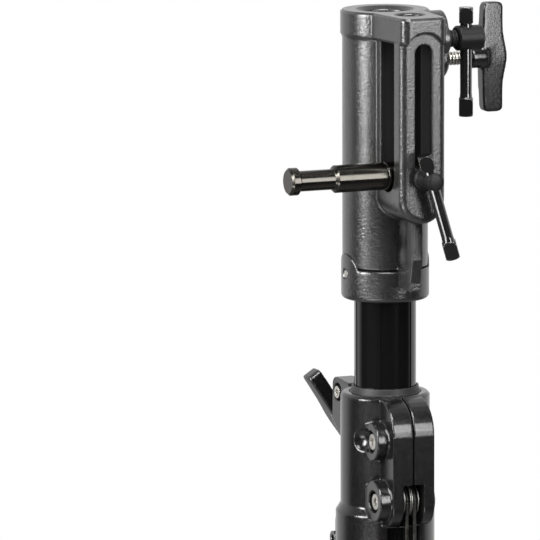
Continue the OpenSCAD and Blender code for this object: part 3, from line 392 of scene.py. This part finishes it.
def dark_chrome(net, look):
    """Polished dark chrome with faint rings from the lathe."""
    point = net.place()
    rings = net.noise(net.place((40, 5200, 40)), 1.0, 1)
    smear = net.noise(point, 70, 4)
    round_normal = net.soft_edge(TURNED_EDGE)
    return net.surface(
        base_color=net.shade(rgba(look.chrome)[:3], 0.85 + 0.3 * smear),
        roughness=0.17 + 0.08 * smear.smooth(0.45, 0.8) + 0.05 * rings,
        normal=net.bump(rings, 0.000006, 0.5, round_normal),
        metallic=1.0)


def turned_steel(net, look):
    """Turned steel, oiled and a little stained."""
    point = net.place()
    rings = net.noise(net.place((60, 4000, 60)), 1.0, 2)
    stain = net.noise(point, 130, 4)
    round_normal = net.soft_edge(TURNED_EDGE)
    return net.surface(
        base_color=net.mix(stain.smooth(0.45, 0.75), rgba(look.steel), rgba(look.steel, 0.55)),
        roughness=0.26 + 0.16 * rings + 0.12 * stain,
        normal=net.bump(rings, 0.00002, 0.5, round_normal),
        metallic=1.0)


def cable_steel(net, look):
    """Stranded steel wire with patches of grease, and near-black painted shade in the grooves of its lay and
    where it runs close to other parts.
    """
    point = net.place()
    lay = net.noise(net.place((2600, 2600, 900)), 1.0, 2)
    grease = net.noise(point, 160, 3)
    return net.surface(
        unshaded=net.open_air(0.02, 0.3, 0.8),
        base_color=net.mix(grease.smooth(0.4, 0.7), rgba(look.steel, 0.16), GREASE),
        roughness=0.36 + 0.25 * grease,
        normal=net.bump(lay, 0.00008, 0.7),
        metallic=0.95)


def satin_paint(net, look):
    """Satin black paint on flat bar, chipped along its edges."""
    point = net.place()
    peel = net.noise(point, 520, 3)
    cloud = net.noise(point, 40, 3)
    round_normal = net.soft_edge(PAINTED_EDGE)
    chipped = net.edge_mask(round_normal) * net.noise(point, 240, 4).smooth(0.55, 0.66)
    return net.surface(
        base_color=net.shade(net.mix(chipped, rgba(look.paint), BARE_METAL), 0.8 + 0.4 * cloud),
        roughness=0.34 + 0.14 * peel,
        metallic=chipped,
        normal=net.bump(peel, 0.00006, 0.5, round_normal))


def nylon(net, look):
    """Moulded black nylon with a fine spark texture."""
    point = net.place()
    spark = net.noise(point, 1900, 2)
    cloud = net.noise(point, 60, 3)
    round_normal = net.soft_edge(MOULDED_EDGE)
    return net.surface(
        base_color=net.shade(rgba(look.nylon)[:3], 0.75 + 0.5 * cloud),
        roughness=0.38 + 0.16 * spark + 0.1 * cloud,
        normal=net.bump(spark, 0.00005, 0.6, round_normal))


def rubber(net, look):
    """Black rubber, dusty where it meets the floor."""
    point = net.place()
    skin = net.noise(point, 800, 3)
    dust = net.noise(point, 120, 4).smooth(0.4, 0.75) * (1.0 - net.part(point, "Z").smooth(0.004, 0.05))
    round_normal = net.soft_edge(RUBBER_EDGE)
    return net.surface(
        base_color=net.mix(dust * 0.55, rgba(look.rubber), DUST),
        roughness=0.62 + 0.2 * skin,
        normal=net.bump(skin, 0.0001, 0.6, round_normal))


FINISHES = {"head": head_coat, "cast_grey": powder_coat, "cast_dark": shaded_coat, "black_anodised": anodised,
            "gloss_black": gloss_black, "oxide": oxide, "bright_steel": bright_steel,
            "dark_chrome": dark_chrome, "sheave_steel": turned_steel, "cable_steel": cable_steel,
            "brace_steel": satin_paint, "nylon": nylon, "rubber": rubber}

# Each node's material slot, and its finish, which is the slot's own but for a few nodes
SLOT_OF = {row["node"]: row["material_slot"] for row in frame["record"]["subparts"]}
FINISH_OF = {**SLOT_OF, "head_casting": "head", "stud_screw": "oxide", "tilt_nut": "oxide",
             # The wings take the collars' darker coat, whose darkness is painted shade
             **{name: "cast_dark" for name in WINGS}}


def finish(node):
    """The material of a node's finish, made the first time that it is asked for."""
    kind = FINISH_OF[node]
    made = bpy.data.materials.get("finish_" + kind)
    if made is None:
        made = FINISHES[kind](Finish("finish_" + kind), bpy.context.scene.stand_look)
    return made


def coat_nodes(*names):
    """Gives CAD nodes their finishes."""
    for name in names:
        node = NODES[name]
        if not node.material_slots:
            node.data.materials.append(None)
        for place in node.material_slots:
            place.link = "OBJECT"
            place.material = finish(name)


def linked(name, data):
    """A new object in the scene."""
    item = bpy.data.objects.new(name, data)
    bpy.context.scene.collection.objects.link(item)
    return item


def new_piece(name, mesh, body, node):
    """A piece from a mesh that stands for a node, with its finish, riding on a body where one is given."""
    piece = linked(name, mesh)
    mesh.materials.clear()
    mesh.materials.append(finish(node))
    if body:
        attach(piece, body)
    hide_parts(node)
    return piece


def body_of(name):
    """The body that a node is on."""
    return NODES[name]["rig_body"]


def rounded_copy(name, grid, rounds, keep):
    """A CAD node's mesh, remade on a grid in millimetres, softened in rounds, with a share of faces kept."""
    source = linked(name + "_blank", NODES[name].data.copy())
    remesh = source.modifiers.new("skin", "REMESH")
    remesh.mode = "VOXEL"
    remesh.voxel_size = grid * MM
    remesh.adaptivity = 0.0
    smooth = source.modifiers.new("soften", "SMOOTH")
    smooth.factor = 0.5
    smooth.iterations = rounds
    thin = source.modifiers.new("thin", "DECIMATE")
    thin.ratio = keep
    graph = bpy.context.evaluated_depsgraph_get()
    mesh = bpy.data.meshes.new_from_object(source.evaluated_get(graph))
    bpy.data.objects.remove(source)
    mesh.name = name + "_cast"
    mesh.shade_smooth()
    return mesh


def cast(name, grid, rounds, keep):
    """A casting in place of its CAD node."""
    new_piece(name + "_cast", rounded_copy(name, grid, rounds, keep), body_of(name), name)


def draw_in(mesh, ends, ease=0.006):
    """Thins an upright wing from its hub to its ends by a share of its thickness, with an ease in metres."""
    corners = [v.co for v in mesh.vertices]
    middle = 0.5 * (min(co.x for co in corners) + max(co.x for co in corners))
    foot, top = min(co.z for co in corners), max(co.z for co in corners)
    for co in corners:
        away = math.hypot(co.z - 0.5 * (foot + top), ease) - ease
        co.x = middle + (co.x - middle) * (1 - ends * away / (0.5 * (top - foot)))


def ring_mesh(rings):
    """A closed mesh from rings of equal numbers of points, skinned from one to the next."""
    bm = bmesh.new()
    rows = [[bm.verts.new(p) for p in ring] for ring in rings]
    count = len(rows[0])
    for a, b in zip(rows, rows[1:]):
        for i in range(count):
            j = (i + 1) % count
            bm.faces.new((a[i], a[j], b[j], b[i]))
    bm.faces.new(reversed(rows[0]))
    bm.faces.new(rows[-1])
    bmesh.ops.recalc_face_normals(bm, faces=bm.faces)
    return bm


def to_mesh(bm, name):
    """A smooth-shaded mesh from what was built."""
    mesh = bpy.data.meshes.new(name)
    bm.to_mesh(mesh)
    bm.free()
    mesh.shade_smooth()
    return mesh


def wire_rings(points, radius, lay=0.016, strands=6, groove=0.11, around=24):
    """Rings of a stranded cable along points, with so many points around each.

    Its outline has a lobe for each strand, and between two lobes a groove that is a share of the radius
    deep. It makes one turn over the lay.
    """
    rings = []
    run = 0.0
    for i, p in enumerate(points):
        ahead = points[min(i + 1, len(points) - 1)] - points[max(i - 1, 0)]
        along = ahead.normalized()
        if i:
            run += (p - points[i - 1]).length
        side = Vector((0, 1, 0)).cross(along)
        side.normalize()
        other = along.cross(side)
        turn = 2 * math.pi * run / lay
        ring = []
        for k in range(around):
            a = 2 * math.pi * k / around
            r = radius * (1 - groove + groove * abs(math.cos(strands * a / 2)))
            ring.append(p + r * (math.cos(a + turn) * side + math.sin(a + turn) * other))
        rings.append(ring)
    return rings


def cable_mesh(name, routes, radius):
    """Several cables in one mesh."""
    whole = bmesh.new()
    for points in routes:
        bm = ring_mesh(wire_rings(points, radius))
        part = bpy.data.meshes.new("strand")
        bm.to_mesh(part)
        bm.free()
        whole.from_mesh(part)
        bpy.data.meshes.remove(part)
    return to_mesh(whole, name)


# Settings that a user would change

class StandLook(bpy.types.PropertyGroup):
    """Colours and surface sizes of the stand."""
    casting: bpy.props.FloatVectorProperty(
        name="Castings", description="Colour of the powder-coated castings", subtype="COLOR",
        size=3, min=0, max=1, default=(0.016, 0.0161, 0.016))
    # The pulley collars' and wings' colour: the castings' coat darkened as painted shade
    shaded_coat_colour: bpy.props.FloatVectorProperty(
        name="Pulley collars", description="Colour of the darker coat on the pulley collars and the wings",
        subtype="COLOR", size=3, min=0, max=1, default=(0.006, 0.006, 0.0062))
    # Colour of the castings' lighter edges, partly wear and partly painted highlight
    edge_wear_and_highlight: bpy.props.FloatVectorProperty(
        name="Worn edges", description="Colour of the castings' edges", subtype="COLOR",
        size=3, min=0, max=1, default=(0.07, 0.07, 0.071))
    tube: bpy.props.FloatVectorProperty(
        name="Tubes", description="Colour of the black anodised tubes", subtype="COLOR",
        size=3, min=0, max=1, default=(0.003, 0.003, 0.0031))
    plating: bpy.props.FloatVectorProperty(
        name="Handles", description="Colour of the black handles and bolts", subtype="COLOR",
        size=3, min=0, max=1, default=(0.006, 0.006, 0.006))
    zinc: bpy.props.FloatVectorProperty(
        name="Bolts", description="Colour of the bright plated bolts", subtype="COLOR",
        size=3, min=0, max=1, default=(0.62, 0.6, 0.56))
    chrome: bpy.props.FloatVectorProperty(
        name="Spigot", description="Colour of the dark chromed spigot", subtype="COLOR",
        size=3, min=0, max=1, default=(0.06, 0.0563, 0.0503))
    steel: bpy.props.FloatVectorProperty(
        name="Bare steel", description="Colour of the sheaves and cables", subtype="COLOR",
        size=3, min=0, max=1, default=(0.36, 0.355, 0.34))
    paint: bpy.props.FloatVectorProperty(
        name="Braces", description="Colour of the painted braces", subtype="COLOR",
        size=3, min=0, max=1, default=(0.03, 0.03, 0.03))
    nylon: bpy.props.FloatVectorProperty(
        name="Plastic", description="Colour of the moulded plastic pieces", subtype="COLOR",
        size=3, min=0, max=1, default=(0.018, 0.018, 0.018))
    rubber: bpy.props.FloatVectorProperty(
        name="Rubber", description="Colour of the rubber feet", subtype="COLOR",
        size=3, min=0, max=1, default=(0.015, 0.015, 0.015))
    edge_radius: bpy.props.FloatProperty(
        name="Edge radius", description="Rounding of the castings' edges", unit="LENGTH",
        min=0, max=0.003, default=0.0009)
    grain_height: bpy.props.FloatProperty(
        name="Grain", description="Height of the powder coat's grain", unit="LENGTH",
        min=0, max=0.002, default=0.0002)


class StandStage(bpy.types.PropertyGroup):
    """The camera, the lights and the floor."""
    azimuth: bpy.props.FloatProperty(
        name="Azimuth", description="Direction of the camera from the column, counted from +X",
        subtype="ANGLE", default=math.radians(-24.13))
    distance: bpy.props.FloatProperty(
        name="Distance", description="Level distance of the camera from the column", unit="LENGTH",
        min=0.5, default=3.419)
    above_head: bpy.props.FloatProperty(
        name="Height", description="Height of the camera above the head's top", unit="LENGTH", default=0.382)
    yaw: bpy.props.FloatProperty(
        name="Yaw", description="Turn of the camera away from the column", subtype="ANGLE",
        default=math.radians(1.117))
    pitch: bpy.props.FloatProperty(
        name="Pitch", description="Tilt of the camera", subtype="ANGLE", default=math.radians(-8.88))
    roll: bpy.props.FloatProperty(
        name="Roll", description="Roll of the camera", subtype="ANGLE", default=math.radians(-0.17))
    lens: bpy.props.FloatProperty(
        name="Lens", description="Focal length on a 36 mm wide sensor", min=20, default=398.3)
    key: bpy.props.FloatProperty(
        name="Key light", description="Power of the softbox on the left, in watts", min=0, default=72)
    side: bpy.props.FloatProperty(
        name="Side light", description="Power of the softbox on the right, in watts", min=0, default=24)
    sky: bpy.props.FloatProperty(
        name="Sky", description="Strength of the even light from all round", min=0, default=0.04)
    overhead: bpy.props.FloatProperty(
        name="Overhead light", description="Power of the softbox over the head, in watts", min=0, default=40)
    legs: bpy.props.FloatProperty(
        name="Leg light", description="Power of the softbox in front of the tripod, in watts", min=0,
        default=22)
    floor: bpy.props.FloatVectorProperty(
        name="Floor", description="Colour of the floor", subtype="COLOR", size=3, min=0, max=1,
        default=(0.72, 0.72, 0.72))


# Operators

class STAND_OT_castings(bpy.types.Operator):
    """Softens the castings' edges and powder-coats them"""
    bl_idname = "stand.castings"
    bl_label = "Castings"

    def execute(self, context):
        for name, (grid, keep) in CASTINGS.items():
            cast(name, grid, CASTING_ROUNDS, keep)
        return {"FINISHED"}


class STAND_OT_wings(bpy.types.Operator):
    """Casts the three clamp wings with rounded edges"""
    bl_idname = "stand.wings"
    bl_label = "Clamp wings"

    def execute(self, context):
        for name in WINGS:
            cast(name, WING_GRID, WING_ROUNDS, WING_KEEP)
        draw_in(bpy.data.meshes["socket_wing_cast"], WING_TAPER)
        return {"FINISHED"}


class STAND_OT_tubes(bpy.types.Operator):
    """Anodises the risers, the column and the legs"""
    bl_idname = "stand.tubes"
    bl_label = "Tubes"

    def execute(self, context):
        coat_nodes("riser_2_tube", "riser_1_tube", "base_column", "leg_tube_1", "leg_tube_2", "leg_tube_3")
        return {"FINISHED"}


class STAND_OT_spigot(bpy.types.Operator):
    """Chromes the spigot and its pivot bolt"""
    bl_idname = "stand.spigot"
    bl_label = "Spigot"

    def execute(self, context):
        coat_nodes("spigot", "pivot_bolt")
        return {"FINISHED"}


class STAND_OT_tommy_bars(bpy.types.Operator):
    """Plates the tommy-bar handles and the black bolts"""
    bl_idname = "stand.tommy_bars"
    bl_label = "Tommy bars"

    # The tilt nut's grid, rounds and share of faces kept
    softening = (0.3, 1, 0.5)
    # The layer at the nut's outer end that is domed
    face = 0.35 * MM
    # How far the dome falls back: its depth in metres over the square of the distance from its middle
    fall = 32.0

    def execute(self, context):
        coat_nodes("tilt_bar", "stud_screw", "stud_bar", "rear_bolt", "upper_ear_bolt", "lower_ear_bolt")
        mesh = rounded_copy("tilt_nut", *self.softening)
        low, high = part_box("tilt_nut")
        middle = Vector((0, (low.y + high.y) / 2, (low.z + high.z) / 2))
        for vertex in mesh.vertices:
            if vertex.co.x > high.x - self.face:
                out = vertex.co - middle
                vertex.co.x -= self.fall * (out.y * out.y + out.z * out.z)
        new_piece("tilt_nut_domed", mesh, body_of("tilt_nut"), "tilt_nut")
        return {"FINISHED"}


class STAND_OT_fasteners(bpy.types.Operator):
    """Plates the bolts, pins and screws and the winch's drum"""
    bl_idname = "stand.fasteners"
    bl_label = "Bolts and pins"

    def execute(self, context):
        coat_nodes("head_pins", "upper_bolts", "upper_pinch_bolt", "lower_bolts", "lower_pinch_bolt",
                   "socket_screw", "upper_clamp_screw", "lower_clamp_screw", "leg_pins", "winch_drum")
        return {"FINISHED"}


class STAND_OT_sheaves(bpy.types.Operator):
    """Gives the sheaves their turned steel"""
    bl_idname = "stand.sheaves"
    bl_label = "Sheaves"

    def execute(self, context):
        coat_nodes("upper_sheaves", "lower_sheaves")
        return {"FINISHED"}


class STAND_OT_cables(bpy.types.Operator):
    """Lays the stranded steel cables over the sheaves"""
    bl_idname = "stand.cables"
    bl_label = "Cables"

    # Node, body at its lower end, body at its upper end
    RUNS = (("cable_head_outer", "base", "riser_1"), ("cable_head_inner", "riser_2", "riser_1"),
            ("cable_winch_inner", "riser_1", "base"), ("cable_winch_outer", "base", None))
    # Node, body that it rides on
    WRAPS = (("cable_head_wrap", "riser_1"), ("cable_winch_wrap", "base"))
    radius = 1.2 * MM
    # Length of a straight cable's steps, with a least number of them, and number of steps round a sheave
    step = 1.4 * MM
    least_steps = 8
    bend_steps = 22

    def pair(self, name, points):
        """The mesh of a node's two cables, one on each side of the stand, through points of x and z."""
        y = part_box(name)[1].y - self.radius
        routes = [[Vector((x, side * y, z)) for x, z in points] for side in (-1, 1)]
        return cable_mesh(name + "_strands", routes, self.radius)

    def execute(self, context):
        for name, below, above in self.RUNS:
            low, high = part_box(name)
            x = (low.x + high.x) / 2
            count = max(self.least_steps, round((high.z - low.z) / self.step))
            mesh = self.pair(name, [(x, low.z + (high.z - low.z) * i / count) for i in range(count + 1)])
            if above:
                piece = new_piece(name + "_strands", mesh, None, name)
                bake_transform(piece)
            else:
                new_piece(name + "_strands", mesh, below, name)
        for name, body in self.WRAPS:
            low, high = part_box(name)
            middle = (low.x + high.x) / 2
            bend = (high.x - low.x) / 2 - self.radius
            turns = [math.pi * i / self.bend_steps for i in range(self.bend_steps + 1)]
            mesh = self.pair(name, [(middle + bend * math.cos(a), low.z + bend * math.sin(a)) for a in turns])
            new_piece(name + "_strands", mesh, body, name)
        return {"FINISHED"}


class STAND_OT_plastics(bpy.types.Operator):
    """Moulds the bushes, guide feet, grip and knob"""
    bl_idname = "stand.plastics"
    bl_label = "Plastic pieces"

    def execute(self, context):
        coat_nodes("riser_2_foot", "riser_1_foot", "upper_bush", "lower_bush", "crank_grip", "brace_knob")
        return {"FINISHED"}


class STAND_OT_braces(bpy.types.Operator):
    """Paints the flat bars of the braces"""
    bl_idname = "stand.braces"
    bl_label = "Braces"

    def execute(self, context):
        coat_nodes("brace_1", "brace_2", "brace_3")
        return {"FINISHED"}


class STAND_OT_rubbers(bpy.types.Operator):
    """Moulds the rubber feet and the column's cap"""
    bl_idname = "stand.rubbers"
    bl_label = "Rubber pieces"

    def execute(self, context):
        coat_nodes("column_cap", "leg_foot_1", "leg_foot_2", "leg_foot_3")
        return {"FINISHED"}


# The softboxes: name, height on the column that they are aimed at, degrees to the right of the camera,
# distance from the column, rise above that height, width and height, in metres
HEAD_AIM = HEAD_TOP - 0.08
LEG_AIM = 0.3
SOFTBOXES = (("key", HEAD_AIM, -58, 2.0, 0.5, 0.8, 1.25),
             ("side", HEAD_AIM, 43, 2.0, 0.42, 0.55, 1.3),
             ("overhead", HEAD_AIM, 15, 0.8, 1.3, 0.9, 0.8),
             ("legs", LEG_AIM, -35, 2.6, 0.0, 1.6, 0.6))


class STAND_OT_stage(bpy.types.Operator):
    """Sets the floor, the lights and the camera"""
    bl_idname = "stand.stage"
    bl_label = "Stage"

    # Half the floor's width in metres, and its squares along each side
    reach = 60
    rows = 8
    # Distances from the stand, in metres, over which the floor turns white: all round to the camera,
    # all round in mirrors, and behind the stand in mirrors
    white_seen = (1.0, 2.3)
    white_mirrored = (1.2, 5.0)
    white_behind = (0.5, 4.0)
    # Span over which the sky turns white in mirrors, from in front of the stand to behind it
    sky_behind = (-0.3, 0.6)
    # What mirrors show: the share of white behind the stand, the share of dark on the floor in front of it,
    # and the strength of that dark
    mirrored_white = 0.95
    mirrored_dark = 0.55
    dark_strength = 0.02

    def floor_mesh(self):
        """A level square of rows by rows faces."""
        bm = bmesh.new()
        ticks = [self.reach * (2 * i / self.rows - 1) for i in range(self.rows + 1)]
        grid = [[bm.verts.new((x, y, 0)) for x in ticks] for y in ticks]
        for row, next_row in zip(grid, grid[1:]):
            for i in range(self.rows):
                bm.faces.new((row[i], row[i + 1], next_row[i + 1], next_row[i]))
        return to_mesh(bm, "floor")

    def floor(self, stage, away):
        """A pale floor that fades to white away from the stand, and is darker in mirrors in front of it."""
        floor = linked("floor", self.floor_mesh())
        net = Finish("pale_floor")
        place = net.place()
        speck = net.noise(place, 30, 3)
        pale = net.add("ShaderNodeBsdfPrincipled", None, {
            "Base Color": net.shade(rgba(stage.floor)[:3], 0.98 + 0.04 * speck),
            "Roughness": 0.7, "Specular IOR Level": 0.2})
        white = net.add("ShaderNodeEmission", None, {"Color": WHITE, "Strength": 1.0})
        dark = net.add("ShaderNodeEmission", None, {"Color": WHITE, "Strength": self.dark_strength})
        radius = net.add("ShaderNodeVectorMath", {"operation": "LENGTH"}, {0: place}, out="Value")
        behind = net.dot(place, away).smooth(*self.white_behind)
        seen, mirrored = net.ray("Is Camera Ray"), net.ray("Is Glossy Ray")
        shader = net.mix_shaders(mirrored * (self.mirrored_dark - self.mirrored_dark * behind), pale, dark)
        factor = (seen * radius.smooth(*self.white_seen)
                  + mirrored * (self.mirrored_white * behind) * radius.smooth(*self.white_mirrored))
        net.close(net.mix_shaders(factor, shader, white))
        floor.data.materials.append(net.material)

    def sky(self, stage, away):
        """White to the camera, and in mirrors behind the stand, and a weak even light elsewhere."""
        world = bpy.data.worlds.new("studio")
        bpy.context.scene.world = world
        net = Sky(world)
        even = net.add("ShaderNodeBackground", None, {"Color": WHITE, "Strength": stage.sky})
        clear = net.add("ShaderNodeBackground", None, {"Color": WHITE, "Strength": 1.0})
        direction = net.add("ShaderNodeTexCoord", out="Generated")
        behind = net.dot(direction, away).smooth(*self.sky_behind)
        factor = net.ray("Is Camera Ray") + net.ray("Is Glossy Ray") * (self.mirrored_white * behind)
        net.close(net.mix_shaders(factor, even, clear))

    def softbox(self, name, place, target, width, height, power):
        """A rectangular lamp that faces its target."""
        lamp = bpy.data.lights.new(name, "AREA")
        lamp.shape = "RECTANGLE"
        lamp.size = width
        lamp.size_y = height
        lamp.energy = power
        box = linked(name, lamp)
        box.location = place
        box.rotation_mode = "QUATERNION"
        box.rotation_quaternion = (target - place).to_track_quat("-Z", "Y")

    def aside(self, stage, degrees):
        """The level direction from the stand that lies so many degrees to the right of the camera's."""
        turn = stage.azimuth + math.radians(degrees)
        return Vector((math.cos(turn), math.sin(turn), 0))

    def camera(self, stage):
        """The camera, placed, turned, tilted and rolled as the settings say."""
        data = bpy.data.cameras.new("camera")
        camera = linked("camera", data)
        bpy.context.scene.camera = camera
        data.sensor_width = 36
        data.lens = stage.lens
        data.clip_start = 0.1
        data.clip_end = 200
        turn = stage.azimuth
        camera.location = (stage.distance * math.cos(turn), stage.distance * math.sin(turn),
                           HEAD_TOP + stage.above_head)
        heading = turn + math.pi + stage.yaw
        ahead = Vector((math.cos(stage.pitch) * math.cos(heading), math.cos(stage.pitch) * math.sin(heading),
                        math.sin(stage.pitch)))
        right = ahead.cross(UP).normalized()
        above = right.cross(ahead)
        c, s = math.cos(stage.roll), math.sin(stage.roll)
        right, above = c * right + s * above, c * above - s * right
        camera.rotation_mode = "QUATERNION"
        camera.rotation_quaternion = Matrix((right, above, -ahead)).transposed().to_quaternion()

    def execute(self, context):
        stage = context.scene.stand_stage
        context.scene.view_settings.view_transform = "Standard"
        away = -self.aside(stage, 0)
        self.floor(stage, away)
        self.camera(stage)
        self.sky(stage, away)
        for name, aim, degrees, distance, rise, width, height in SOFTBOXES:
            target = Vector((0, 0, aim))
            place = target + distance * self.aside(stage, degrees) + rise * UP
            self.softbox(name, place, target, width, height, getattr(stage, name))
        return {"FINISHED"}


class STAND_PT_sidebar(bpy.types.Panel):
    """Lists the stand's operators and settings"""
    bl_label = "Light stand"
    bl_idname = "STAND_PT_sidebar"
    bl_space_type = "VIEW_3D"
    bl_region_type = "UI"
    bl_category = "Light stand"

    def draw(self, context):
        for operator in OPERATORS:
            self.layout.operator(operator.bl_idname)
        for group in (context.scene.stand_look, context.scene.stand_stage):
            box = self.layout.box()
            for key in group.bl_rna.properties.keys():
                if key not in ("rna_type", "name"):
                    box.prop(group, key)


OPERATORS = (STAND_OT_stage, STAND_OT_castings, STAND_OT_wings, STAND_OT_tubes, STAND_OT_spigot,
             STAND_OT_tommy_bars, STAND_OT_fasteners, STAND_OT_sheaves, STAND_OT_cables,
             STAND_OT_plastics, STAND_OT_braces, STAND_OT_rubbers)
CLASSES = (StandLook, StandStage, *OPERATORS, STAND_PT_sidebar)


def register():
    """Adds the classes and the scene's two groups of settings."""
    for item in CLASSES:
        bpy.utils.register_class(item)
    bpy.types.Scene.stand_look = bpy.props.PointerProperty(type=StandLook)
    bpy.types.Scene.stand_stage = bpy.props.PointerProperty(type=StandStage)


def unregister():
    """Takes them away again."""
    del bpy.types.Scene.stand_look
    del bpy.types.Scene.stand_stage
    for item in reversed(CLASSES):
        bpy.utils.unregister_class(item)


def main():
    """Builds the stand's dressing and its stage."""
    register()
    for operator in OPERATORS:
        group, name = operator.bl_idname.split(".")
        getattr(getattr(bpy.ops, group), name)()
    bpy.context.view_layer.update()


if __name__ == "__main__":
    main()
